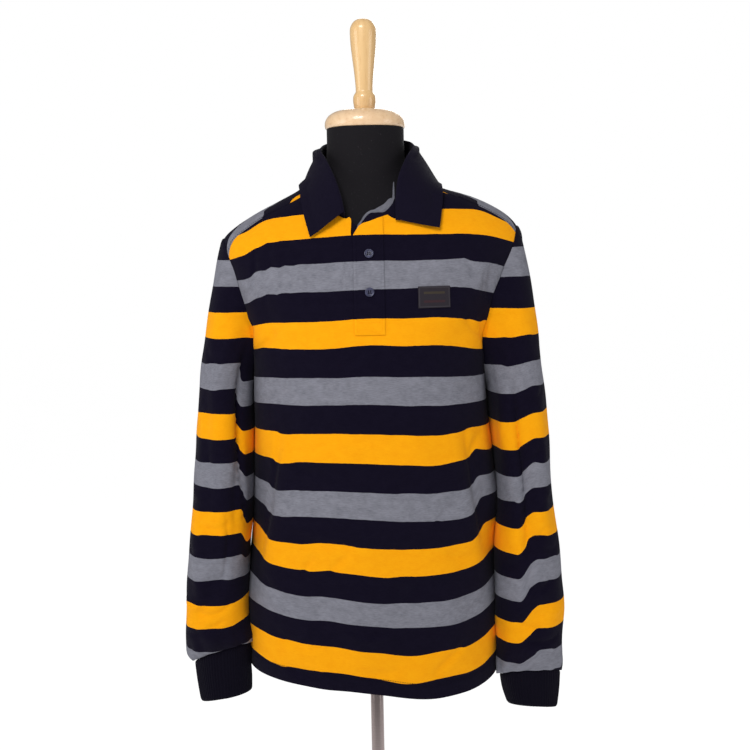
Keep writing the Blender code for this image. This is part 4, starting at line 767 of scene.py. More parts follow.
# ---------------------------------------------------------------- armholes and the neckline
def armhole_chart(side, turn, grow=0.0):
    """The armhole loop in angle and height. Turn is in degrees: 0 top, 90 front, 180 underarm.

    In side view the loop is a rounded rectangle above its middle and an oval below it.
    """
    sizes = ARMHOLE[side]
    turn = np.radians(turn)
    upper = np.cos(turn) > 0
    squareness = np.where(upper, ARMHOLE_TOP_SQUARENESS, ARMHOLE_LOW_SQUARENESS)
    reach = np.where(np.sin(turn) > 0, sizes["front"], sizes["back"]) + grow
    depth = -reach * np.sign(np.sin(turn)) * np.abs(np.sin(turn)) ** (2 / squareness)
    rise = np.sign(np.cos(turn)) * np.abs(np.cos(turn)) ** (2 / squareness)
    height = sizes["middle"] + (sizes["half_height"] + grow) * rise
    return side_angle(side, depth, height), height


def seam_turn(side):
    """Where on the armhole loop, in degrees, the shoulder seam ends: at its depth in front."""
    sizes = ARMHOLE[side]
    share = (sizes["seam_depth"] / sizes["front"]) ** (ARMHOLE_TOP_SQUARENESS / 2)
    return math.degrees(math.asin(share))


def neck_height(angle):
    """The neckline's height at an angle round the section."""
    from_front = (np.asarray(angle) - 270.0 + 180.0) % 360.0 - 180.0
    return smooth_column(NECKLINE, 1, from_front)


def armhole_turns(side, back, segments):
    """Turns at even distances round the armhole, from the underarm to the shoulder seam's end."""
    end = 360.0 + seam_turn(side) if back else seam_turn(side)
    turns = np.linspace(180.0, end, 241)
    angle, height = armhole_chart(side, turns)
    place = section_point(SHIRT_SECTIONS, SQUARENESS, angle, height)
    run = np.concatenate([[0.0], np.cumsum(np.linalg.norm(np.diff(place, axis=0), axis=1))])
    return np.interp(np.linspace(0.0, run[-1], segments + 1), run, turns)


def hem_height(angle):
    """The hem's height at an angle round the section: it hangs a little lower at +X."""
    place = section_point(SHIRT_SECTIONS, SQUARENESS, angle, HEM_HEIGHT)
    return HEM_HEIGHT + smooth_column(HEM_RISE, 1, place[..., 0])


def panel_side(side, back, angle, under_rows, arm_rows):
    """A panel's side edge: up the side seam at an angle, then round the armhole to the seam."""
    height = np.linspace(hem_height(angle), UNDERARM_HEIGHT, under_rows + 1)[:-1]
    below = np.stack([np.full_like(height, angle), height], axis=-1)
    loop_angle, loop_height = armhole_chart(side, armhole_turns(side, back, arm_rows))
    if side > 0 and not back:
        loop_angle = loop_angle + 360.0
    loop_angle[0] = angle
    return np.concatenate([below, np.stack([loop_angle, loop_height], axis=-1)])


def shoulder_seam(side, shares, back):
    """The shoulder seam in angle and height, from the armhole (0) to the neckline (1)."""
    start_angle, start_height = armhole_chart(side, seam_turn(side))
    end_angle = 360.0 - NECK_SEAM_ANGLE if side > 0 else 180.0 + NECK_SEAM_ANGLE
    if side > 0:
        start_angle = start_angle + 360.0
    end_height = neck_height(end_angle)
    angle = start_angle + (end_angle - start_angle) * shares
    height = start_height + (end_height - start_height) * shares + SEAM_BOW * np.sin(math.pi * shares)
    if back and side > 0:
        angle = angle - 360.0
    return np.stack([angle, height], axis=-1)


def steady_heights(edge, under_rows):
    """A side edge whose heights rise evenly beside the armhole's upper half."""
    steady = edge.copy()
    middle = (under_rows + len(edge)) // 2
    steady[middle:, 1] = np.linspace(edge[middle, 1], edge[-1, 1], len(edge) - middle)
    return steady


def filled_patch(bottom, top, left, right, under_rows, lags):
    """A grid in angle and height between four edges, each blended across to the one facing it.

    The rows take on the top's angles and heights by two powers of the way up, the lags, so that
    the back's rows pass behind the armholes before they turn forward over the shoulders.

    Beside the armholes, what an edge's heights differ from a steady rise fades out toward the
    neckline's columns, so that no row passes above the panel's top. Where an armhole starts at the
    underarm, the rows dip beside it by half a wave, so that they leave its level foot downward.
    """
    u = np.linspace(0, 1, len(bottom))[None, :, None]
    v = np.linspace(0, 1, len(left))[:, None, None]
    calm_left = steady_heights(left, under_rows)
    calm_right = steady_heights(right, under_rows)
    across = (1 - u) * calm_left[:, None] + u * calm_right[:, None]
    lower = (1 - v) * (bottom - (1 - u) * bottom[0] - u * bottom[-1])
    upper = v ** np.array(lags) * (top - (1 - u) * top[0] - u * top[-1])
    beside = np.sin(math.pi * np.clip(u / DIP_SHARE, 0, 1))
    beside = beside + np.sin(math.pi * np.clip((1 - u) / DIP_SHARE, 0, 1))
    rows_up = np.arange(len(left))[:, None, None] - under_rows - 2
    dip = np.array([0.0, UNDERARM_DIP]) * beside * np.exp(-(rows_up / DIP_ROWS) ** 2)
    near_left = np.clip(1 - u / SEAM_SHARE, 0, 1)
    near_right = np.clip(1 - (1 - u) / SEAM_SHARE, 0, 1)
    return (across + lower + upper - dip + near_left * (left - calm_left)[:, None]
            + near_right * (right - calm_right)[:, None])


def neck_run(start, end):
    """Angles along the neckline between two of them, and how far along it each lies."""
    fine = np.linspace(start, end, 721)
    place = section_point(SHIRT_SECTIONS, SQUARENESS, fine, neck_height(fine))
    return fine, np.concatenate([[0.0], np.cumsum(np.linalg.norm(np.diff(place, axis=0), axis=1))])


def neck_angles(start, end, shares):
    """Angles at shares of the neckline's length between two of its angles."""
    fine, run = neck_run(start, end)
    return np.interp(np.asarray(shares) * run[-1], run, fine)


def front_chart():
    """The front panel's grid in angle and height, from -X round to +X."""
    left = panel_side(-1, False, 180.0 + SIDE_SEAM_SHIFT, FRONT_UNDER_ROWS, FRONT_ARM_ROWS)
    right = panel_side(1, False, 360.0 - SIDE_SEAM_SHIFT, FRONT_UNDER_ROWS, FRONT_ARM_ROWS)
    u = np.linspace(0, 1, PANEL_COLUMNS + 1)
    bottom = left[0] + (right[0] - left[0]) * u[:, None]
    bottom[:, 1] = hem_height(bottom[:, 0])
    top = panel_top(u, False)
    left[-1] = top[0]
    right[-1] = top[-1]
    return filled_patch(bottom, top, left, right, FRONT_UNDER_ROWS, FRONT_LAGS)


def back_chart():
    """The back panel's grid in angle and height, from +X round to -X."""
    right = panel_side(1, True, SIDE_SEAM_SHIFT, BACK_UNDER_ROWS, BACK_ARM_ROWS)
    left = panel_side(-1, True, 180.0 - SIDE_SEAM_SHIFT, BACK_UNDER_ROWS, BACK_ARM_ROWS)
    u = np.linspace(0, 1, PANEL_COLUMNS + 1)
    bottom = right[0] + (left[0] - right[0]) * u[:, None]
    bottom[:, 1] = hem_height(bottom[:, 0])
    top = panel_top(u, True)
    right[-1] = top[0]
    left[-1] = top[-1]
    return filled_patch(bottom, top, right, left, BACK_UNDER_ROWS, BACK_LAGS)


def panel_top(u, back):
    """A panel's top edge: up one shoulder seam, along the neckline, down the other seam.

    On the front the columns stand closer at the placket's opening.
    """
    first, last = (1, -1) if back else (-1, 1)
    start = shoulder_seam(first, np.clip(u / SEAM_SHARE, 0, 1), back)
    end = shoulder_seam(last, np.clip((1 - u) / SEAM_SHARE, 0, 1), back)
    middle_share = np.clip((u - SEAM_SHARE) / (1 - 2 * SEAM_SHARE), 0, 1)
    seam_columns = round(SEAM_SHARE * (len(u) - 1))
    if not back:
        fine, run = neck_run(start[seam_columns, 0], end[-1 - seam_columns, 0])
        near = np.interp(270.0 + OPENING_ANGLE, fine, run) / run[-1] + np.array(OPENING_REACH)
        middle_share = np.interp(middle_share, [0.0, *OPENING_COLUMNS, 1.0], [0.0, *near, 1.0])
    angle = neck_angles(start[seam_columns, 0], end[-1 - seam_columns, 0], middle_share)
    middle = np.stack([angle, neck_height(angle)], axis=-1)
    top = np.where((u <= SEAM_SHARE)[:, None], start, middle)
    top = np.where((u >= 1 - SEAM_SHARE)[:, None], end, top)
    on_seam = (u <= SEAM_SHARE) | (u >= 1 - SEAM_SHARE)
    toward_front = np.where(u < 0.5, -first, -last)
    shift = SEAM_HALF_GAP / degree_length(top) * np.where(back, -toward_front, toward_front)
    top[:, 0] = top[:, 0] + np.where(on_seam, shift, 0.0)
    return top


def degree_length(chart):
    """Metres of the shirt's surface per degree round its section, at points of a chart."""
    here = section_point(SHIRT_SECTIONS, SQUARENESS, chart[..., 0], chart[..., 1])
    ahead = section_point(SHIRT_SECTIONS, SQUARENESS, chart[..., 0] + 0.1, chart[..., 1])
    return np.linalg.norm(ahead - here, axis=-1) / 0.1


# ---------------------------------------------------------------- meshes
def new_piece(name, points, faces, finish, sharp=45.0):
    """A mesh object with its faces outward, smooth but for edges sharper than an angle."""
    corners = points[faces[:, :3]]
    volume = np.einsum("ij,ij->i", corners[:, 0], np.cross(corners[:, 1], corners[:, 2])).sum()
    if faces.shape[1] == 4:
        corners = points[faces[:, [0, 2, 3]]]
        volume += np.einsum("ij,ij->i", corners[:, 0], np.cross(corners[:, 1], corners[:, 2])).sum()
    if volume < 0:
        faces = faces[:, ::-1]
    mesh = bpy.data.meshes.new(name)
    mesh.from_pydata(points.tolist(), [], faces.tolist())
    mesh.materials.append(finish)
    mesh.shade_smooth()
    mesh.set_sharp_from_angle(angle=math.radians(sharp))
    piece = bpy.data.objects.new(name, mesh)
    bpy.context.scene.collection.objects.link(piece)
    return piece


def with_numbers(piece, **numbers):
    """Each number stored on the piece's points under its own name, for the finishes to read."""
    for name, values in numbers.items():
        held = piece.data.attributes.new(name, "FLOAT", "POINT")
        held.data.foreach_set("value", np.ascontiguousarray(values, dtype=np.float32).ravel())
    return piece


def grid_faces(rows, columns, ring=False):
    """Faces of a grid of points; a ring's last column joins its first."""
    index = np.arange(rows * columns).reshape(rows, columns)
    if ring:
        index = np.concatenate([index, index[:, :1]], axis=1)
    faces = np.stack([index[:-1, :-1], index[:-1, 1:], index[1:, 1:], index[1:, :-1]], -1)
    return faces.reshape(-1, 4), index


def wall(name, inner, outer, finish, ring=False, flat=None, across=None):
    """A closed wall of cloth: the grid of inner points, the grid of outer points and their rims."""
    rows, columns = inner.shape[:2]
    faces, index = grid_faces(rows, columns, ring)
    far = rows * columns
    sheets = [faces[:, ::-1], faces + far]
    edges = [index[0], index[-1][::-1]]
    if not ring:
        edges += [index[::-1, 0], index[:, -1]]
    for edge in edges:
        sheets.append(np.stack([edge[:-1], edge[1:], edge[1:] + far, edge[:-1] + far], -1))
    points = np.concatenate([inner.reshape(-1, 3), outer.reshape(-1, 3)])
    piece = new_piece(name, points, np.concatenate(sheets), finish)
    if across is None:
        across = run_across(inner, ring)
    if flat is None:
        flat = run_down(inner)
    return with_numbers(piece, flat=np.stack([flat, flat]), across=np.stack([across, across]))


def run_across(grid, ring=False):
    """Distance along each row of a grid, from its middle column, or from its first on a ring."""
    step = np.linalg.norm(np.diff(grid, axis=1), axis=-1)
    run = np.concatenate([np.zeros((len(grid), 1)), np.cumsum(step, axis=1)], axis=1)
    return run if ring else run - run[:, grid.shape[1] // 2][:, None]


def run_down(grid):
    """Distance along each column of a grid from its first row."""
    step = np.linalg.norm(np.diff(grid, axis=0), axis=-1)
    return np.concatenate([np.zeros((1, grid.shape[1])), np.cumsum(step, axis=0)])


def smooth_profile(profile, steps=6):
    """A turned profile made finer: between its points it follows a cubic through its neighbours."""
    points = np.array(profile)
    ahead = np.concatenate([points[1:], points[-1:] * 2 - points[-2:-1]])
    behind = np.concatenate([points[:1] * 2 - points[1:2], points[:-1]])
    slope = (ahead - behind) / 2
    share = np.linspace(0, 1, steps + 1)[:-1, None]
    made = []
    for start, end, leave, arrive in zip(points[:-1], points[1:], slope[:-1], slope[1:]):
        made.append(start * (1 + 2 * share) * (1 - share) ** 2 + leave * share * (1 - share) ** 2
                    + end * (3 - 2 * share) * share ** 2 - arrive * share ** 2 * (1 - share))
    made = np.concatenate(made + [points[-1:]])
    made[:, 0] = np.maximum(made[:, 0], 0.0)
    return made


def turned_piece(name, profile, finish, steps=96):
    """A solid of revolution about Z: the profile's points, top first, carried round in equal steps."""
    profile = np.array([point for point in profile if point[0] > 1e-6])
    turn = np.arange(steps) / steps * 2 * math.pi
    grid = np.stack([profile[:, :1] * np.cos(turn), profile[:, :1] * np.sin(turn),
                     np.repeat(profile[:, 1:2], steps, axis=1)], axis=-1)
    return capped_tube(name, grid, finish)


def capped_tube(name, grid, finish):
    """A ring grid closed at both ends by a fan round each end's middle point."""
    rows, columns = grid.shape[:2]
    faces, index = grid_faces(rows, columns, ring=True)
    middles = np.stack([grid[0].mean(0), grid[-1].mean(0)])
    points = np.concatenate([grid.reshape(-1, 3), middles])
    first, last = rows * columns, rows * columns + 1
    top = np.stack([index[0, 1:], index[0, :-1], np.full(columns, first)], -1)
    foot = np.stack([index[-1, :-1], index[-1, 1:], np.full(columns, last)], -1)
    triangles = np.concatenate([faces[:, [0, 1, 2]], faces[:, [0, 2, 3]], top, foot])
    return new_piece(name, points, triangles, finish)


def even_run(points, spacing):
    """Places at an even spacing along a line of points, and the line's direction at each."""
    step = np.linalg.norm(np.diff(points, axis=0), axis=-1)
    run = np.concatenate([[0.0], np.cumsum(step)])
    at = np.arange(spacing / 2, run[-1], spacing)
    places = np.stack([np.interp(at, run, points[:, axis]) for axis in range(3)], axis=-1)
    ahead = np.stack([np.interp(at + 0.0005, run, points[:, axis]) for axis in range(3)], axis=-1)
    behind = np.stack([np.interp(at - 0.0005, run, points[:, axis]) for axis in range(3)], axis=-1)
    return places, unit(ahead - behind), at, run


def stitch_row(name, points, outward, finish, length=0.0026, spacing=0.0034, thickness=0.00032):
    """Small stitches along a line on the cloth: each a rounded bar, as long as the needle's step."""
    places, along, at, run = even_run(points, spacing)
    up = unit(np.stack([np.interp(at, run, outward[:, axis]) for axis in range(3)], axis=-1))
    side = unit(np.cross(along, up))
    reach = np.linspace(-1, 1, 5)
    girth = np.sqrt(np.maximum(1 - reach ** 4, 0.06))
    turn = np.arange(6) / 6 * 2 * math.pi
    arch = (1 - reach ** 2) * 0.00012
    centre = places[:, None, None, :] + reach[:, None, None] * (length / 2) * along[:, None, None, :]
    centre = centre + arch[:, None, None] * up[:, None, None, :]
    round_part = np.cos(turn)[:, None] * side[:, None, None, :]
    round_part = round_part + np.sin(turn)[:, None] * up[:, None, None, :]
    grid = centre + thickness * girth[:, None, None] * round_part
    faces = grid_faces(5, 6, ring=True)[0]
    ends = np.array([[0, 3, 2, 1], [0, 5, 4, 3], [24, 25, 26, 27], [24, 27, 28, 29]])
    faces = np.concatenate([faces, ends])
    count = len(places)
    every = (faces[None] + (np.arange(count) * 30)[:, None, None]).reshape(-1, 4)
    return new_piece(name, grid.reshape(-1, 3), every, finish)


# ---------------------------------------------------------------- finishes
class Finish:
    """A node material under one surface shader, with short ways to add and join its nodes."""

    def __init__(self, name, roughness, **sockets):
        self.material = bpy.data.materials.new(name)
        self.material.use_nodes = True
        self.tree = self.material.node_tree
        self.shader = self.tree.nodes["Principled BSDF"]
        self.shader.inputs["Roughness"].default_value = roughness
        for socket, value in sockets.items():
            self.shader.inputs[socket.replace("_", " ")].default_value = value

    def add(self, kind, inputs=(), **settings):
        """A node; each input is a number, a colour or another node's output."""
        node = self.tree.nodes.new(kind)
        for name, value in settings.items():
            setattr(node, name, value)
        for place, value in dict(inputs).items():
            if isinstance(value, bpy.types.NodeSocket):
                self.tree.links.new(value, node.inputs[place])
            else:
                node.inputs[place].default_value = value
        return node

    def number(self, name):
        """A number that the mesh carries at each point."""
        return self.add("ShaderNodeAttribute", attribute_name=name).outputs["Fac"]

    def sum(self, operation, first, second=0.0, third=0.0):
        """One step of arithmetic."""
        return self.add("ShaderNodeMath", {0: first, 1: second, 2: third}, operation=operation).outputs[0]

    def noise(self, scale, detail=3.0, vector=None, roughness=0.5):
        """Noise on the piece's own coordinates, or on a vector."""
        if vector is None:
            vector = self.add("ShaderNodeTexCoord").outputs["Object"]
        return self.add("ShaderNodeTexNoise", {"Vector": vector, "Scale": scale, "Detail": detail,
                                               "Roughness": roughness}).outputs["Fac"]

    def ramp(self, value, stops, interpolation="LINEAR"):
        """Colours at places along a value."""
        node = self.add("ShaderNodeValToRGB", {"Fac": value})
        node.color_ramp.interpolation = interpolation
        while len(node.color_ramp.elements) < len(stops):
            node.color_ramp.elements.new(0.5)
        for element, (place, colour) in zip(node.color_ramp.elements, stops):
            element.position = place
            element.color = (*colour, 1.0) if len(colour) == 3 else colour
        return node.outputs["Color"]

    def blend(self, share, first, second, how="MIX"):
        """Two colours mixed by a share."""
        node = self.add("ShaderNodeMix", {"Factor": share}, data_type="RGBA", blend_type=how)
        for socket, value in zip((node.inputs[6], node.inputs[7]), (first, second)):
            if isinstance(value, bpy.types.NodeSocket):
                self.tree.links.new(value, socket)
            else:
                socket.default_value = (*value, 1.0)
        return node.outputs[2]

    def colour(self, value):
        """Joins the surface's colour."""
        self.tree.links.new(value, self.shader.inputs["Base Color"])

    def bump(self, height, strength, distance, under=None):
        """Joins a fine relief to the shader, over another one if there is one."""
        inputs = {"Height": height, "Strength": strength, "Distance": distance}
        if under is not None:
            inputs["Normal"] = under
        normal = self.add("ShaderNodeBump", inputs).outputs["Normal"]
        self.tree.links.new(normal, self.shader.inputs["Normal"])
        return normal


def grain_vector(finish, across_scale, flat_scale):
    """The cloth's own coordinates, stretched along and up the knit."""
    across = finish.sum("MULTIPLY", finish.number("across"), across_scale)
    flat = finish.sum("MULTIPLY", finish.number("flat"), flat_scale)
    return finish.add("ShaderNodeCombineXYZ", {0: across, 1: flat}).outputs[0]


def knit_relief(finish, wale, course, strength, wrinkle=0.25):
    """Loops in relief: one wave across at the wales' width times one up at the courses' height."""
    columns = finish.sum("SINE", finish.sum("MULTIPLY", finish.number("across"), 2 * math.pi / wale))
    rows = finish.sum("SINE", finish.sum("MULTIPLY", finish.number("flat"), 2 * math.pi / course))
    loops = finish.sum("MULTIPLY", columns, rows)
    wrinkles = finish.bump(finish.noise(16.0, 3.0), wrinkle, 0.006)
    wrinkles = finish.bump(finish.noise(55.0, 4.0), wrinkle, 0.002, wrinkles)
    finish.bump(loops, strength, 0.0003, wrinkles)
    return loops


def striped_knit():
    """Jersey in orange, navy and grey melange stripes, changed by how far up the cloth a point lies, blended
    toward a second tone by streaks of uneven dye and by patches of painted shade.
    """
    made = Finish("striped_jersey", 0.95, Sheen_Weight=0.02, Sheen_Roughness=0.5, Specular_IOR_Level=0.05)
    wobble = made.sum("MULTIPLY_ADD", made.noise(60.0, 2.0), 0.0012, -0.0006)
    up = made.sum("ADD", made.number("flat"), wobble)
    period = made.sum("FRACT", made.sum("DIVIDE", made.sum("SUBTRACT", up, STRIPE_START), STRIPE_PERIOD))
    full = made.ramp(period, [(0.0, ORANGE), (0.25, NAVY), (0.5, GREY_LIGHT), (0.75, NAVY)], "CONSTANT")
    # Second tone of each stripe: deeper orange, faded navy, darker grey.
    dye_and_painted_shade_tone = made.ramp(period, [(0.0, ORANGE_DEEP), (0.25, NAVY_WORN), (0.5, GREY_DARK), (0.75, NAVY_WORN)],
                     "CONSTANT")
    streak = made.noise(1.0, 3.0, grain_vector(made, 140.0, 900.0), 0.6)
    # The streaks are uneven dye and melange; the cloud's larger patches are painted shade of the cloth's
    # crumples.
    cloud = made.noise(1.0, 4.0, grain_vector(made, 60.0, 95.0), 0.6)
    share = made.sum("MULTIPLY_ADD", streak, 1.5, -0.55)
    share = made.sum("MULTIPLY_ADD", cloud, 1.1, made.sum("SUBTRACT", share, 0.50))
    share = made.sum("MINIMUM", made.sum("MAXIMUM", share, 0.0), 1.0)
    made.colour(made.blend(share, full, dye_and_painted_shade_tone))
    knit_relief(made, 0.0013, 0.0011, 0.30)
    return made.material


def plain_knit(name, first, second, wale, course, strength, sheen=0.02):
    """One-coloured knit with loops in relief and a slight unevenness of its dye."""
    made = Finish(name, 0.92, Sheen_Weight=sheen, Sheen_Roughness=0.5, Specular_IOR_Level=0.06)
    streak = made.noise(1.0, 3.0, grain_vector(made, 160.0, 700.0), 0.6)
    made.colour(made.blend(made.sum("MULTIPLY_ADD", streak, 1.6, -0.3), first, second))
    knit_relief(made, wale, course, strength, 0.15)
    return made.material


def form_cover():
    """The dress form's black jersey cover: fine knit, a little lint and a faint sheen."""
    made = Finish("form_jersey", 0.78, Sheen_Weight=0.03, Sheen_Roughness=0.4, Specular_IOR_Level=0.12)
    lint = made.noise(420.0, 2.0)
    lint = made.ramp(lint, [(0.0, (0.0, 0.0, 0.0)), (0.66, (0.0, 0.0, 0.0)), (0.80, (1.0, 1.0, 1.0))])
    cloud = made.blend(made.noise(7.0, 3.0), (0.0045, 0.0038, 0.0052), (0.0085, 0.0074, 0.0096))
    made.colour(made.blend(lint, cloud, (0.028, 0.026, 0.030)))
    soft = made.bump(made.noise(16.0, 2.0), 0.25, 0.004)
    made.bump(made.noise(1500.0, 2.0), 0.25, 0.0003, soft)
    return made.material


def varnished_wood(name, light, dark, lengthwise):
    """Pale varnished wood: rings drawn out along the grain, fine pores, and a clear coat."""
    made = Finish(name, 0.42, Coat_Weight=0.7, Coat_Roughness=0.12, Specular_IOR_Level=0.5)
    place = made.add("ShaderNodeTexCoord").outputs["Object"]
    stretch = (1.0, 1.0, 0.12) if lengthwise else (1.0, 0.16, 1.0)
    drawn = made.add("ShaderNodeMapping", {"Vector": place, "Scale": stretch}).outputs[0]
    rings = made.add("ShaderNodeTexWave", {"Vector": drawn, "Scale": 26.0, "Distortion": 5.0, "Detail": 3.0,
                                           "Detail Scale": 1.6}, bands_direction="X").outputs["Fac"]
    pores = made.noise(330.0, 3.0, drawn)
    tone = made.sum("MULTIPLY_ADD", rings, 0.22, made.sum("MULTIPLY", made.noise(30.0, 3.0, drawn), 0.7))
    colour = made.ramp(tone, [(0.20, dark), (0.70, light)])
    pore = made.ramp(pores, [(0.30, (0.82, 0.72, 0.62)), (0.46, (1.0, 1.0, 1.0))])
    made.colour(made.blend(0.5, colour, pore, "MULTIPLY"))
    made.bump(pores, 0.06, 0.0004)
    return made.material


def brushed_steel():
    """Steel brushed round the pole: fine level scratches and faint finger marks in its gloss."""
    made = Finish("brushed_steel_tube", 0.3, Metallic=1.0)
    place = made.add("ShaderNodeTexCoord").outputs["Object"]
    drawn = made.add("ShaderNodeMapping", {"Vector": place, "Scale": (4.0, 4.0, 900.0)}).outputs[0]
    scratches = made.noise(1.0, 3.0, drawn, 0.7)
    made.colour(made.blend(scratches, (0.24, 0.195, 0.19), (0.44, 0.37, 0.36)))
    rough = made.sum("MULTIPLY_ADD", made.noise(24.0, 3.0), 0.22, 0.20)
    made.tree.links.new(rough, made.shader.inputs["Roughness"])
    made.bump(scratches, 0.10, 0.0002)
    return made.material


def button_resin():
    """Dark blue polyester button: swirled tones under a soft gloss."""
    made = Finish("navy_button_resin", 0.35, Specular_IOR_Level=0.4, Coat_Weight=0.10, Coat_Roughness=0.2)
    swirl = made.noise(260.0, 3.0)
    made.colour(made.ramp(swirl, [(0.3, (0.012, 0.013, 0.036)), (0.7, (0.046, 0.048, 0.105))]))
    made.bump(made.noise(900.0, 2.0), 0.05, 0.0002)
    return made.material


def woven_badge():
    """A woven badge: dark ground with fine cross threads, a thin pale border and two plain bars."""
    made = Finish("woven_badge_cloth", 0.8, Specular_IOR_Level=0.25)
    across, up = made.number("across"), made.number("flat")
    width, height = BADGE["right"] - BADGE["left"], BADGE["top_left"] - BADGE["bottom"]
    side = made.sum("DIVIDE", made.sum("ABSOLUTE", across), width / 2)
    level = made.sum("DIVIDE", up, height)
    rise = made.sum("ABSOLUTE", made.sum("MULTIPLY_ADD", level, 2.0, -1.0))
    rim = made.sum("MAXIMUM", made.sum("MULTIPLY", made.sum("COMPARE", side, 0.925, 0.022), 1.0),
                   made.sum("COMPARE", rise, 0.885, 0.034))
    inside = made.sum("MULTIPLY", made.sum("LESS_THAN", side, 0.947), made.sum("LESS_THAN", rise, 0.92))
    rim = made.sum("MULTIPLY", rim, inside)
    middle = made.sum("LESS_THAN", side, 0.66)
    upper = made.sum("MULTIPLY", made.sum("COMPARE", level, 0.70, 0.055), middle)
    lower = made.sum("MULTIPLY", made.sum("COMPARE", level, 0.30, 0.055), middle)
    ground = made.blend(made.noise(1.0, 2.0, grain_vector(made, 1800.0, 900.0)), (0.012, 0.009, 0.014),
                        (0.026, 0.020, 0.028))
    colour = made.blend(made.sum("MULTIPLY", rim, 0.45), ground, (0.060, 0.055, 0.065))
    colour = made.blend(made.sum("MULTIPLY", upper, 0.5), colour, (0.060, 0.045, 0.020))
    made.colour(made.blend(made.sum("MULTIPLY", lower, 0.5), colour, (0.050, 0.012, 0.016)))
    knit_relief(made, 0.0006, 0.0006, 0.4, 0.1)
    return made.material


def studio_floor():
    """A plain white floor with a glow of its own, so that only soft contact shadows show on it."""
    made = Finish("white_floor", 0.8, Specular_IOR_Level=0.05, Emission_Strength=FLOOR_GLOW)
    made.shader.inputs["Emission Color"].default_value = (1.0, 1.0, 1.0, 1.0)
    made.colour(made.blend(made.noise(3.0, 2.0), (0.14, 0.14, 0.14), (0.16, 0.16, 0.16)))
    return made.material


# ---------------------------------------------------------------- body of the shirt
def make_front(finish):
    """The front: hem to neckline between the side seams, armholes and shoulder seams."""
    chart = front_chart()
    inner, outward = shirt_surface(chart[..., 0], chart[..., 1])
    pull = crease_rise(FRONT_CREASES, inner[..., 0], inner[..., 2])[1]
    return wall("front_cloth", inner, inner + WALL * outward, finish, flat=stripe_run(inner) + pull)


def make_back(finish):
    """The back, over the shoulders to the seams in front of them.

    Above the underarms its stripes follow the distance up each column of the cloth, so that they
    run over the shoulders as the knit does.
    """
    chart = back_chart()
    inner, outward = shirt_surface(chart[..., 0], chart[..., 1])
    flat = stripe_run(inner, back=True)
    down = run_down(inner)
    start = BACK_UNDER_ROWS
    top = smooth_column(BACK_SEAM_RUN, 1, np.linspace(0, 1, inner.shape[1]))
    share = (down[start:] - down[start]) / (down[-1] - down[start])
    flat[start:] = flat[start] + (top - flat[start]) * share
    return wall("back_cloth", inner, inner + WALL * outward, finish, flat=flat)


# ---------------------------------------------------------------- sleeves
def sleeve_turns(side):
    """Turns of the sleeve's columns on the armhole loop, the same way round as the panels' edges."""
    front = armhole_turns(side, False, SLEEVE_FRONT_TURNS)
    back = armhole_turns(side, True, SLEEVE_BACK_TURNS)
    return np.concatenate([front[::-1][:-1], back[:-1]])


def even_turns(side, front_count=SLEEVE_FRONT_TURNS, back_count=SLEEVE_BACK_TURNS):
    """The columns' turns on the hanging sections: even on each run, 180 at the underarm."""
    seam = seam_turn(side) * 0.5
    front = np.linspace(seam, 180.0, front_count + 1)[:-1]
    back = np.linspace(180.0, 360.0 + seam, back_count + 1)[:-1]
    return np.concatenate([front, back])


def sleeve_section(side, table, turn, height):
    """A sleeve table's section at a height: the point, and the direction straight out of it."""
    outer = smooth_column(table, 1, height)
    inner = smooth_column(table, 2, height)
    half_width = (outer - inner) / 2
    half_depth = smooth_column(table, 3, height)
    cosine = np.cos(np.radians(turn))
    sine = np.sin(np.radians(turn))
    x = side * ((outer + inner) / 2 + half_width * signed_power(cosine, 2 / SLEEVE_SQUARENESS))
    y = smooth_column(table, 4, height) - half_depth * signed_power(sine, 2 / SLEEVE_SQUARENESS)
    flat = 0.0 * x
    around = unit(np.stack([side * cosine / half_width + flat, -sine / half_depth + flat, flat], axis=-1))
    return np.stack([x, y, height + flat], axis=-1), around


def sleeve_grid(side, table, rings):
    """The sleeve's inner face: the armhole loop first, sections of the table below it.

    A point's height runs evenly from the armhole's height to the cuff's. Its place is on the
    table's section at that height, blended from the armhole's own place near the top, with folds,
    creases and the gathers of its foot along the section's normal. The foot never sinks in, so
    that it stays over the cuff.
    """
    share = np.linspace(0.0, 1.0, rings)[:, None]
    angle, loop_height = armhole_chart(side, sleeve_turns(side)[None, :], SLEEVE_LAP)
    on_body, body_outward = shirt_surface(angle, loop_height)
    turn = even_turns(side)[None, :]
    height = loop_height + (table[0, 0] - loop_height) * share
    hung, around = sleeve_section(side, table, turn, height)
    level_turn = turn % 360.0 + 0.0 * height
    rise = fold_rise([(a * DEGREE_WIDTH, b, c * DEGREE_WIDTH, d, width, size)
                      for a, b, c, d, width, size in SLEEVE_FOLDS[side]],
                     level_turn * DEGREE_WIDTH, height)
    rise = rise + crease_rise(SLEEVE_CREASES[side], level_turn, height, DEGREE_WIDTH)[0]
    rise = rise + ripple(level_turn * DEGREE_WIDTH * 1.3 + side, height)
    gather = (0.7 * (1 + np.cos(np.radians(turn) * GATHERS_AROUND))
              + 0.3 * (1 + np.sin(np.radians(turn) * 5 + 1.0)))
    above_foot = height - table[0, 0]
    rise = rise + np.maximum(-rise, 0.0) * np.exp(-(above_foot / FOOT_HOLD) ** 2)
    rise = rise + GATHER_RISE * gather * np.exp(-(above_foot / GATHER_REACH) ** 2)
    rise = rise * soft_step(share, 0.0, 0.10)
    hung = hung + rise[..., None] * around
    hung[..., 2] = hung[..., 2] + tilted(CUFF_SEAM_TILT[side], turn) * share
    hold = np.clip(1 - share / SLEEVE_HEAD_SHARE, 0, 1)[..., None] ** 2
    start = on_body + body_outward * (WALL + SLEEVE_EDGE_REST)
    return hung * (1 - hold) + start * hold, around, body_outward[0], level_turn


def tilted(rises, turn):
    """The rise of a sleeve's end at a turn: its inner side and its front stand higher."""
    return rises[0] * (1 - np.cos(np.radians(turn))) / 2 + rises[1] * np.sin(np.radians(turn))


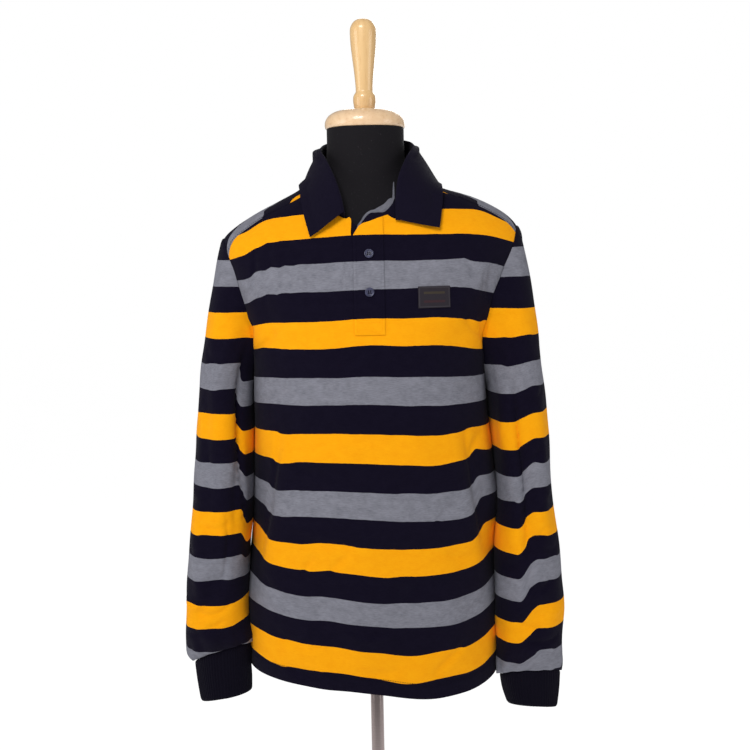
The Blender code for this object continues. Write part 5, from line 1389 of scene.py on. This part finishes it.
def sleeve_run(side, turn, height):
    """How far up the sleeve's cloth a point lies: even with height, plus what the folds take in.

    Between two turns of the front the stripes go over from the outer side's run to the inner
    side's, and they come back to the outer side's behind the arm.
    """
    table = SLEEVE_RUN[side]
    level = np.clip(height, table[0, 0], table[-1, 0])
    outer, inner, start, end = (smooth_column(table, column, level) for column in (1, 2, 3, 4))
    over = soft_step(turn, start, end) * (1 - soft_step(turn, 215.0, 300.0))
    rate, foot = SLEEVE_RISE[side]
    run = rate * (height - foot) + (outer + (inner - outer) * over) / 1000 + SLEEVE_FLAT_START
    return np.minimum(run, SLEEVE_TOP_RUN)


def make_sleeve(name, side, table, finish):
    """A sleeve hanging from its armhole to its cuff seam, just clear of the body."""
    inner, around, body_outward, turn = sleeve_grid(side, table, SLEEVE_RINGS)
    share = np.linspace(0.0, 1.0, SLEEVE_RINGS)[1:, None]
    reach = 0.012 + 0.048 * (0.5 + 0.5 * np.cos(np.radians(turn[1:])))
    near = np.maximum(body_rise(inner[1:]), 0.0)
    margin = WALL + SLEEVE_EDGE_REST + (SLEEVE_REST + near) * soft_step(share / reach, 0.0, 1.0)
    hung = held_clear(inner[1:], SHIRT_SECTIONS, SQUARENESS, margin)
    inner = np.concatenate([inner[:1], hung])
    outward = grid_outward(inner, around)
    outward[-1] = around[-1]
    turned_back = np.maximum(-(outward[0] * body_outward).sum(-1, keepdims=True), 0.0)
    inner[0] = inner[0] + body_outward * WALL * turned_back
    thickness = WALL * np.concatenate([[[0.35]], 0.35 + 0.65 * soft_step(share, 0.0, 0.02)])
    pull = crease_rise(SLEEVE_CREASES[side], turn, inner[..., 2], DEGREE_WIDTH)[1]
    return wall(name, inner, inner + thickness[..., None] * outward, finish, ring=True,
                flat=sleeve_run(side, turn, inner[..., 2]) + pull)


def grid_outward(grid, rough):
    """Unit normals of a ring grid, on the side that a rough outward direction shows."""
    around = np.roll(grid, -1, axis=1) - np.roll(grid, 1, axis=1)
    along = np.gradient(grid, axis=0)
    normal = unit(np.cross(around, along))
    facing = np.sign((normal * rough).sum(-1, keepdims=True))
    return normal * np.where(facing == 0, 1.0, facing)


def make_cuff(name, side, table, finish):
    """A ribbed cuff below the sleeve's end: its outer face is a wave round the wrist, one per rib."""
    turn = even_turns(side, CUFF_COLUMNS * 9 // 20, CUFF_COLUMNS * 11 // 20)[None, :]
    upward = np.linspace(0.0, 1.0, CUFF_ROWS)[:, None]
    height = table[0, 0] + (table[-1, 0] - table[0, 0]) * upward
    inner, around = sleeve_section(side, table, turn, height)
    seam_rise = tilted(CUFF_SEAM_TILT[side], turn)
    mouth_rise = tilted(CUFF_MOUTH_TILT[side], turn)
    inner[..., 2] = inner[..., 2] + mouth_rise * (1 - upward) + seam_rise * upward
    inner = held_clear(inner, SHIRT_SECTIONS, SQUARENESS,
                       WALL + CUFF_WALL + SLEEVE_REST + np.maximum(body_rise(inner), 0.0))
    rib = CUFF_RIB_RISE * (0.5 - 0.5 * np.cos(np.arange(CUFF_COLUMNS) / 5 * 2 * math.pi))[None, :]
    soft_rim = np.minimum(np.minimum(upward, 1 - upward) / 0.05, 1.0) ** 0.5
    slack = 0.0006 * np.sin(np.radians(turn) * 3 + 1.0) * np.sin(math.pi * upward)
    thickness = (CUFF_WALL * 0.75 + rib) * (0.45 + 0.55 * soft_rim)
    inner = inner + (np.abs(slack))[..., None] * around
    return wall(name, inner, inner + thickness[..., None] * around, finish, ring=True)


# ---------------------------------------------------------------- collar
def collar_line(place, columns):
    """Points of a collar line from the -X end round the back to the +X end; place is -1 to 1."""
    share = 1 - np.abs(place)
    points = []
    for column in columns:
        right = smooth_column(COLLAR_RIGHT, column, share)
        left = smooth_column(COLLAR_LEFT, column, share)
        points.append(np.where(place < 0, right, left))
    points[0] = points[0] * np.sign(place + 1e-9)
    return np.stack(points, axis=-1)


def level_outward(line):
    """The level direction straight out of a line that runs from -X round the back to +X."""
    run = unit(np.gradient(line, axis=0) * np.array([1.0, 1.0, 0.0]))
    return np.cross(np.array([0.0, 0.0, 1.0]), run)


def stand_foot(place):
    """The stand's foot: just inside the neckline's edge, from one front end round to the other."""
    angle = neck_angles(270.0 - COLLAR_ENDS_ANGLE[-1], -90.0 + COLLAR_ENDS_ANGLE[1], (place + 1) / 2)
    edge, _ = shirt_surface(angle, neck_height(angle))
    outward = level_outward(edge)
    foot = edge - outward * (COLLAR_WALL + STAND_FOOT_INSET) + np.array([0.0, 0.0, STAND_FOOT_RISE])
    return foot, outward


def make_collar_stand(finish, place):
    """The band that stands on the neckline up to the collar's fold."""
    foot, foot_outward = stand_foot(place)
    top = collar_line(place, (1, 2, 3))
    top_outward = level_outward(top)
    share = np.linspace(0, 1, 14)[:, None, None]
    outward = unit(foot_outward * (1 - share) + top_outward * share)
    inner = foot * (1 - share) + (top - top_outward * COLLAR_WALL) * share
    inner[:-1] = held_clear(inner[:-1], FORM_SECTIONS, FORM_SQUARENESS, 2 * SEAM_GAP)
    return wall("collar_stand_knit", inner, inner + COLLAR_WALL * outward, finish)


def make_collar_leaf(finish, place):
    """The leaf: from the stand's top, over the fold and down to its spread points.

    Its edge thins over the last few millimetres, as a knitted selvedge does, and its face lifts
    and dips a little along the collar.
    """
    up = np.array([0.0, 0.0, 1.0])
    fold = collar_line(place, (1, 2, 3)) + SEAM_GAP * up
    edge = collar_line(place, (4, 5, 6))
    away = level_outward(fold)
    under = []
    outward = []
    for bend in np.linspace(0.0, 0.5, 4):
        swing = math.pi * bend
        under.append(fold + (away * (1 - math.cos(swing)) + up * math.sin(swing)) * COLLAR_FOLD_RADIUS)
        outward.append(unit(up * math.sin(swing) - away * math.cos(swing)))
    start = fold + away * 2 * COLLAR_FOLD_RADIUS
    face = unit(np.cross(unit(np.gradient(start, axis=0)), unit(edge - start)))
    body_outward = unit(section_slope(SHIRT_SECTIONS, SQUARENESS, (start + edge) / 2))
    face = face * np.sign((face * body_outward).sum(-1, keepdims=True))
    shares = np.linspace(0, 1, 30)
    for share in shares:
        bulge = COLLAR_BULGE * math.sin(math.pi * share)
        lift = 0.0005 * math.sin(math.pi * share) * np.sin(place * 9 + 0.6)[:, None]
        under.append(start + (edge - start) * share + face * (bulge + lift))
        outward.append(unit(face * share + away * (1 - share)))
    under = np.stack(under)
    clear = held_clear(under[6:], SHIRT_SECTIONS, SQUARENESS, WALL + COLLAR_REST)
    under = np.concatenate([under[:6], clear])
    thin = np.concatenate([np.ones(4), 1 - 0.35 * soft_step(shares, 0.90, 1.0)])[:, None]
    ends = 1 - 0.3 * soft_step(np.abs(place), 0.97, 1.0)
    thickness = (COLLAR_WALL * thin * ends)[..., None]
    return wall("collar_leaf_knit", under, under + thickness * unit(np.stack(outward)), finish)


# ---------------------------------------------------------------- trims on the front
def strip_places(size, columns, rows):
    """Places across and heights of a strip on the front, between its sides and its sloped top."""
    share = np.linspace(0, 1, columns)[None, :]
    top = size["top_left"] + (size["top_right"] - size["top_left"]) * share
    if "top" in size:
        top = np.interp(size["left"] + (size["right"] - size["left"]) * share, *size["top"])
    height = size["bottom"] + (top - size["bottom"]) * np.linspace(0, 1, rows)[:, None]
    x = size["left"] + (size["right"] - size["left"]) * share + 0.0 * height
    return x, height


def front_strip(name, size, columns, rows, finish, striped=False, rest=WALL + STRIP_REST):
    """A flat piece on the front's outer face, softened where its edges meet the cloth."""
    x, height = strip_places(size, columns, rows)
    base, outward = shirt_surface(front_angle(x, height), height)
    inner = base + rest * outward
    edge = np.minimum(np.abs(x - size["left"]), np.abs(x - size["right"]))
    edge = np.minimum(edge, height - size["bottom"])
    thickness = TRIM_WALL * (0.45 + 0.55 * soft_step(edge, 0.0, 0.0012))
    outer = inner + thickness[..., None] * outward
    flat = stripe_run(inner) if striped else height - size["bottom"]
    across = x - (size["left"] + size["right"]) / 2
    return wall(name, inner, outer, finish, flat=flat, across=across)


def strip_seam(name, x, height, finish):
    """A row of stitches on a strip's outer face along a line of places, toned with the stripe below."""
    base, outward = shirt_surface(front_angle(x, height), height)
    points = base + (WALL + STRIP_REST + TRIM_WALL) * outward
    row = stitch_row(name, points, outward, finish, thickness=0.00024)
    places = np.empty(len(row.data.vertices) * 3)
    row.data.vertices.foreach_get("co", places)
    places = places.reshape(-1, 3)
    return with_numbers(row, flat=stripe_run(places), across=places[:, 0])


def form_front(x, height):
    """The depth of the dress form's front at a place across and a height."""
    half = smooth_column(FORM_SECTIONS, 2, height)
    depth = smooth_column(FORM_SECTIONS, 3, height)
    return -depth * (1 - (np.abs(x) / half) ** FORM_SQUARENESS) ** (1 / FORM_SQUARENESS)


def neck_ribbon(name, table, thickness, finish, curl=0.0):
    """A short band across the neck's front, a table's distances before the form, curled at its top."""
    share = np.linspace(0, 1, 14)[:, None]
    x = np.linspace(table[0, 0], table[-1, 0], 110)[None, :]
    low, high, near, far = (smooth_column(table, column, x) for column in (1, 2, 3, 4))
    height = low * (1 - share) + high * share
    distance = near * (1 - share) + far * share + curl * np.sin(math.pi * share) * np.sin(x * 190)
    inner = np.stack([x + 0.0 * share, form_front(x, height) - distance, height], axis=-1)
    return wall(name, inner, inner + thickness * np.array([0.0, -1.0, 0.0]), finish)


# ---------------------------------------------------------------- buttons
def button_frame(height):
    """A button's middle on the placket, and the directions across, up and out of it."""
    base, outward = shirt_surface(front_angle(np.array([BUTTON_X]), np.array([height])), np.array([height]))
    out = outward[0]
    middle = base[0] + out * (WALL + STRIP_REST + TRIM_WALL + SEAM_GAP)
    across = unit(np.cross(out, np.array([0.0, 0.0, 1.0])) * -1)
    return middle, across, np.cross(out, across) * -1, out


def make_button(name, height, finish):
    """A four-hole button: a polar grid raised to a dished face, sunk at the holes, with a flat back."""
    middle, across, up, out = button_frame(height)
    radius = np.concatenate([np.linspace(0.0002, 0.70, 30),
                             [0.76, 0.82, 0.88, 0.93, 0.97, 1.0, 1.0, 0.97, 0.85]])
    turn = np.arange(64) / 64 * 2 * math.pi
    reach = radius[:, None] * BUTTON_RADIUS
    x, y = reach * np.cos(turn), reach * np.sin(turn)
    face = np.interp(radius[:-3], [0, 0.6, 0.72, 0.86, 0.95, 1.0], [0.66, 0.68, 0.86, 1.0, 0.9, 0.62])
    face = np.concatenate([face, [0.35, 0.08, 0.0]])[:, None] * BUTTON_THICKNESS + 0.0 * x
    for right in (-1, 1):
        for over in (-1, 1):
            gap = np.hypot(x - right * BUTTON_HOLE_PLACE, y - over * BUTTON_HOLE_PLACE)
            sunk = 1 - soft_step(gap, BUTTON_HOLE_RADIUS * 0.75, BUTTON_HOLE_RADIUS * 1.15)
            face = np.where(reach < BUTTON_RADIUS * 0.7, face - 0.0014 * sunk, face)
    grid = middle + x[..., None] * across + y[..., None] * up + face[..., None] * out
    return capped_tube(name, grid, finish)


def make_button_thread(name, height, finish):
    """Thread through a button's holes: two short bars that lie side by side over its middle."""
    middle, across, up, out = button_frame(height)
    share = np.linspace(-1, 1, 25)[:, None]
    lift = BUTTON_THICKNESS * 0.72 + 0.0002 - 0.0012 * soft_step(np.abs(share), 0.72, 1.0)
    turn = np.arange(8) / 8 * 2 * math.pi
    girth = 0.00042 * (np.cos(turn)[:, None] * across + np.sin(turn)[:, None] * out)
    rows = []
    for right in (-1, 1):
        line = middle + right * BUTTON_HOLE_PLACE * across + share * BUTTON_HOLE_PLACE * up + lift * out
        rows.append(line[:, None] + girth)
    grid = np.stack(rows)
    faces = grid_faces(25, 8, ring=True)[0]
    ends = np.array([[0, 3, 2, 1], [0, 7, 4, 3], [7, 6, 5, 4], [192, 193, 194, 195], [192, 195, 196, 199],
                     [199, 196, 197, 198]])
    faces = np.concatenate([faces, ends])
    return new_piece(name, grid.reshape(-1, 3), np.concatenate([faces, faces + 200]), finish)


# ---------------------------------------------------------------- dress form and stand
def make_form(finish):
    """The torso and neck: the form's sections at every few millimetres, closed at both ends."""
    turn = np.arange(160) / 160 * 360.0
    height = np.linspace(FORM_SECTIONS[0, 0], FORM_SECTIONS[-1, 0], 220)[:, None]
    grid = section_point(FORM_SECTIONS, FORM_SQUARENESS, turn[None, :], height)
    return capped_tube("form_cover_jersey", grid, finish)


def make_stand_parts():
    """The wooden cap and handle, the pole and the base plate, as turned profiles."""
    foot = NECK_TOP + SEAM_GAP
    cap = [(0.0, foot + 0.0265), (0.018, foot + 0.0264), (0.030, foot + 0.0254), (0.042, foot + 0.0230),
           (0.0505, foot + 0.0180), (0.0550, foot + 0.0115), (0.0560, foot + 0.0050),
           (0.0550, foot + 0.0010), (0.0540, foot)]
    cap = turned_piece("neck_cap_wood", smooth_profile(cap),
                       varnished_wood("cap_wood", WOOD_LIGHT, WOOD_DARK, False))
    foot = foot + 0.0265 + SEAM_GAP
    handle = [(0.0, 1.6920), (0.0080, 1.6915), (0.0135, 1.6880), (0.0172, 1.6820), (0.0183, 1.6760),
              (0.0178, 1.6600), (0.0160, 1.6420), (0.0140, 1.6250), (0.0124, 1.6080), (0.0119, 1.5960),
              (0.0130, 1.5930), (0.0152, 1.5890), (0.0158, 1.5830), (0.0150, 1.5760), (0.0140, foot)]
    handle = turned_piece("finial_wood", smooth_profile(handle),
                          varnished_wood("handle_wood", HANDLE_LIGHT, HANDLE_DARK, True), 72)
    steel = brushed_steel()
    top, low = FORM_SECTIONS[0, 0] - SEAM_GAP, BASE_THICKNESS + 0.018 + SEAM_GAP
    pole = turned_piece("pole_tube", [(POLE_RADIUS - 0.0004, top), (POLE_RADIUS, top - 0.0004),
                                      (POLE_RADIUS, low + 0.0004), (POLE_RADIUS - 0.0004, low)], steel, 64)
    rim, top = BASE_RADIUS, BASE_THICKNESS
    plate = [(0.0150, top + 0.018), (0.0165, top + 0.018), (0.0175, top + 0.0172), (0.0180, top + 0.0160),
             (0.0200, top + 0.002), (0.0212, top + 0.0006), (0.0230, top), (rim - 0.010, top - 0.0020),
             (rim - 0.004, top - 0.0034), (rim - 0.0012, top - 0.0062), (rim, top - 0.0095),
             (rim, 0.0022), (rim - 0.0006, 0.0007), (rim - 0.002, 0.0)]
    plate = turned_piece("base_plate", plate, steel, 144)
    return cap, handle, pole, plate


# ---------------------------------------------------------------- stitches
def body_line(angle, height, lift):
    """A line on the body's outer face, and its outward directions."""
    base, outward = shirt_surface(angle, height)
    return base + (WALL + lift) * outward, outward


def hem_rows(finish):
    """Two rows of stitches round each panel, a hem's width above its lower edge."""
    made = []
    for name, start, end in (("front", 180.6, 359.4), ("back", 0.6, 179.4)):
        angle = np.linspace(start, end, 240)
        for row, above in (("low", 0.0190), ("high", 0.0225)):
            points, outward = body_line(angle, hem_height(angle) + above, 0.00005)
            made.append(stitch_row(f"hem_stitches_{name}_{row}", points, outward, finish))
    return made


def shoulder_rows(finish):
    """A row of stitches beside each shoulder seam, on the back's side of it."""
    made = []
    for name, side in (("right", -1), ("left", 1)):
        shares = np.linspace(0.06, 0.70, 80)
        seam = shoulder_seam(side, shares, True)
        seam[:, 0] = seam[:, 0] + 0.0032 / degree_length(seam) * side
        points, outward = body_line(seam[:, 0], seam[:, 1], 0.00005)
        made.append(stitch_row(f"shoulder_stitches_{name}", points, outward, finish))
    return made


# ---------------------------------------------------------------- camera, light and floor
def make_camera():
    """The camera in front of the shirt at chest height, pitched down and rolled a little."""
    camera = bpy.data.objects.new("camera", bpy.data.cameras.new("camera"))
    camera.data.sensor_width = 36.0
    camera.data.lens = CAMERA_LENS
    camera.data.clip_start = 0.02
    tilt = Matrix.Rotation(math.radians(90.0 - CAMERA_PITCH), 4, "X")
    roll = Matrix.Rotation(math.radians(-CAMERA_ROLL), 4, "Z")
    camera.matrix_world = Matrix.Translation(Vector(CAMERA_PLACE)) @ tilt @ roll
    bpy.context.scene.collection.objects.link(camera)
    bpy.context.scene.camera = camera


def make_light(name, place, target, size, power):
    """A square soft box that faces a target."""
    data = bpy.data.lights.new(name, "AREA")
    data.size = size
    data.energy = power
    light = bpy.data.objects.new(name, data)
    light.location = place
    light.rotation_euler = (Vector(target) - Vector(place)).to_track_quat("-Z", "Y").to_euler()
    bpy.context.scene.collection.objects.link(light)


def make_studio():
    """A pale floor, white surroundings, and soft boxes in front, at both sides and behind."""
    turn = np.arange(96) / 96 * 2 * math.pi
    rings = np.array([0.4, 1.0, 2.5, 6.0, 14.0])[:, None]
    grid = np.stack([rings * np.cos(turn), rings * np.sin(turn), 0.0 * rings * turn - FLOOR_DROP], axis=-1)
    faces, index = grid_faces(len(rings), 96, ring=True)
    points = np.concatenate([grid.reshape(-1, 3), [[0.0, 0.0, -FLOOR_DROP]]])
    fan = np.stack([index[0, :-1], index[0, 1:], np.full(96, len(points) - 1)], -1)
    triangles = np.concatenate([faces[:, [0, 2, 1]], faces[:, [0, 3, 2]], fan])
    floor = new_piece("studio_floor", points, triangles, studio_floor())
    world = bpy.data.worlds.new("studio")
    world.use_nodes = True
    bpy.context.scene.world = world
    tree = world.node_tree
    soft = tree.nodes["Background"]
    soft.inputs["Color"].default_value = (1.0, 1.0, 1.0, 1.0)
    soft.inputs["Strength"].default_value = AMBIENT
    white = tree.nodes.new("ShaderNodeBackground")
    white.inputs["Color"].default_value = (1.0, 1.0, 1.0, 1.0)
    white.inputs["Strength"].default_value = 1.0
    path = tree.nodes.new("ShaderNodeLightPath")
    mixed = tree.nodes.new("ShaderNodeMixShader")
    tree.links.new(path.outputs["Is Camera Ray"], mixed.inputs[0])
    tree.links.new(soft.outputs[0], mixed.inputs[1])
    tree.links.new(white.outputs[0], mixed.inputs[2])
    tree.links.new(mixed.outputs[0], tree.nodes["World Output"].inputs["Surface"])
    for name, place, target, size, power in SOFT_BOXES:
        make_light(name, place, target, size, power)
    bpy.context.scene.view_settings.view_transform = "Standard"


CAMERA_PLACE = (0.0067, -1.5, 1.391)
CAMERA_PITCH = 7.28
CAMERA_ROLL = 1.18
CAMERA_LENS = 50.69
FLOOR_DROP = 0.0002
FLOOR_GLOW = 0.95
AMBIENT = 0.28
SOFT_BOXES = [
    ("front_box", (-0.7, -1.8, 2.95), (0.0, 0.0, 1.20), 1.0, 42.0),
    ("left_box", (-2.4, -0.9, 1.7), (0.0, 0.0, 1.2), 1.2, 12.0),
    ("right_box", (2.4, -1.1, 1.6), (0.0, 0.0, 1.1), 1.2, 10.0),
    ("back_box", (0.6, 2.6, 2.4), (0.0, 0.0, 1.2), 1.6, 30.0),
]

CUFF_COLUMNS = 320
CUFF_ROWS = 26
CUFF_RIB_RISE = 0.0007
BUTTON_HOLE_PLACE = 0.0015
BUTTON_HOLE_RADIUS = 0.0009

# The knit's second tones below (deeper orange, faded navy, darker grey) are blended in by streaks of uneven
# dye; in the striped jersey a cloud of patches also blends them in as painted shade of the crumples.
ORANGE = (0.91, 0.375, 0.004)
ORANGE_DEEP = (0.85, 0.300, 0.002)
NAVY = (0.0040, 0.0028, 0.0098)
NAVY_WORN = (0.0068, 0.0052, 0.0146)
# The cuffs' rib navy: the collar's navy at about half its brightness, painted shade for the lower light at
# the cuffs; its two tones differ by streaks of uneven dye.
RIB_NAVY_PAINTED_SHADE = (0.0020, 0.0014, 0.0055)
RIB_NAVY_WORN_PAINTED_SHADE = (0.0036, 0.0028, 0.0080)
GREY_LIGHT = (0.215, 0.216, 0.254)
GREY_DARK = (0.095, 0.097, 0.118)
WOOD_LIGHT = (0.79, 0.56, 0.34)
WOOD_DARK = (0.71, 0.47, 0.27)
HANDLE_LIGHT = (0.76, 0.50, 0.23)
HANDLE_DARK = (0.66, 0.41, 0.17)

# ---------------------------------------------------------------- build
make_camera()

jersey = striped_knit()
navy_knit = plain_knit("navy_flat_knit", NAVY, NAVY_WORN, 0.0016, 0.0014, 0.30)
# The cuffs' rib finish: navy painted about half as bright, as painted shade.
navy_rib_painted_shade = plain_knit("navy_rib_knit_painted_shade", RIB_NAVY_PAINTED_SHADE, RIB_NAVY_WORN_PAINTED_SHADE, 0.0012, 0.0012, 0.25)
grey_knit = plain_knit("grey_facing_knit", GREY_DARK, GREY_LIGHT, 0.0011, 0.0010, 0.25)
thread = plain_knit("navy_thread", NAVY, NAVY_WORN, 0.0009, 0.0009, 0.05)

cloth = {
    "front": make_front(jersey),
    "back": make_back(jersey),
    "sleeve_right": make_sleeve("sleeve_right_cloth", -1, SLEEVE_RIGHT, jersey),
    "sleeve_left": make_sleeve("sleeve_left_cloth", 1, SLEEVE_LEFT, jersey),
    "cuff_right": make_cuff("cuff_right_rib", -1, CUFF_RIGHT, navy_rib_painted_shade),
    "cuff_left": make_cuff("cuff_left_rib", 1, CUFF_LEFT, navy_rib_painted_shade),
    "placket_over": front_strip("placket_over_cloth", PLACKET_OVER, 48, 110, jersey, striped=True),
    # The under placket's dark strip in the opening is partly painted shade.
    "placket_under": front_strip("placket_under_cloth_and_painted_shade", PLACKET_UNDER, 14, 34, navy_knit, rest=UNDER_REST),
    "neck_band": neck_ribbon("neck_band_knit", NECK_BAND, COLLAR_WALL, navy_knit),
    "placket_facing": neck_ribbon("placket_facing_cloth", PLACKET_FACING, TRIM_WALL, grey_knit),
    "chest_badge": front_strip("chest_badge_cloth", BADGE, 50, 40, woven_badge()),
}
collar_places = np.linspace(-1, 1, 161)
cloth["collar_stand"] = make_collar_stand(navy_knit, collar_places)
cloth["collar_leaf"] = make_collar_leaf(navy_knit, collar_places)

# Each piece of cloth: its record slot, its flat width and length, how it is held, what it rests on,
# and the cut's flat area where it isn't a rectangle
CUTS = {
    "front": ("striped_knit", 0.56, 0.69, "hung", ["form_torso"], 0.335),
    "back": ("striped_knit", 0.56, 0.76, "hung", ["form_torso"], 0.370),
    "sleeve_right": ("striped_knit", 0.38, 0.62, "hung", ["front", "back"], 0.185),
    "sleeve_left": ("striped_knit", 0.38, 0.65, "hung", ["front", "back"], 0.195),
    "cuff_right": ("navy_knit", 0.20, 0.068, "hung", ["sleeve_right"], None),
    "cuff_left": ("navy_knit", 0.20, 0.060, "hung", ["sleeve_left"], None),
    "collar_stand": ("navy_knit", 0.42, 0.050, "stretched", ["front", "back"], 0.0165),
    "collar_leaf": ("navy_knit", 0.46, 0.085, "folded", ["collar_stand"], 0.0290),
    "placket_over": ("striped_knit", 0.040, 0.140, "laid", ["front"], None),
    "placket_under": ("navy_knit", 0.012, 0.040, "laid", ["front"], None),
    "neck_band": ("navy_knit", 0.047, 0.021, "stretched", ["form_torso"], None),
    "placket_facing": ("grey_knit", 0.060, 0.010, "folded", ["form_torso"], None),
    "chest_badge": ("badge_cloth", 0.042, 0.028, "laid", ["front"], None),
}
for node, (slot, width, length, held, rests_on, area) in CUTS.items():
    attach(cloth[node], "root")
    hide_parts(node)

resin = button_resin()
for number, height in enumerate(BUTTON_HEIGHTS, start=1):
    button = make_button(f"button_{number}_resin", height, resin)
    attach(button, "root")
    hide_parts(f"button_{number}")
    sewn = make_button_thread(f"button_{number}_thread", height, thread)
    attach(sewn, "root")

form = make_form(form_cover())
cap, handle, pole, plate = make_stand_parts()
for piece, node, slot in ((form, "form_torso", "form_cover"), (cap, "neck_cap", "varnished_wood"),
                          (handle, "finial", "varnished_wood"), (pole, "pole", "brushed_steel"),
                          (plate, "base", "brushed_steel")):
    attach(piece, "root")
    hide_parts(node)

rows = hem_rows(thread) + shoulder_rows(thread)
left, right = PLACKET_OVER["left"] + SEAM_INSET, PLACKET_OVER["right"] - SEAM_INSET
foot = PLACKET_OVER["bottom"] + SEAM_INSET
seam_height = np.linspace(foot, PLACKET_OVER["top_left"] - 0.001, 60)
for name, x in (("left", left), ("right", right)):
    rows.append(strip_seam(f"placket_stitches_{name}", x + 0.0 * seam_height, seam_height, jersey))
seam_across = np.linspace(left, right, 30)
for name, height in (("foot", foot), ("box", foot + 0.012)):
    rows.append(strip_seam(f"placket_stitches_{name}", seam_across, height + 0.0 * seam_across, jersey))
for row in rows:
    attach(row, "root")

make_studio()
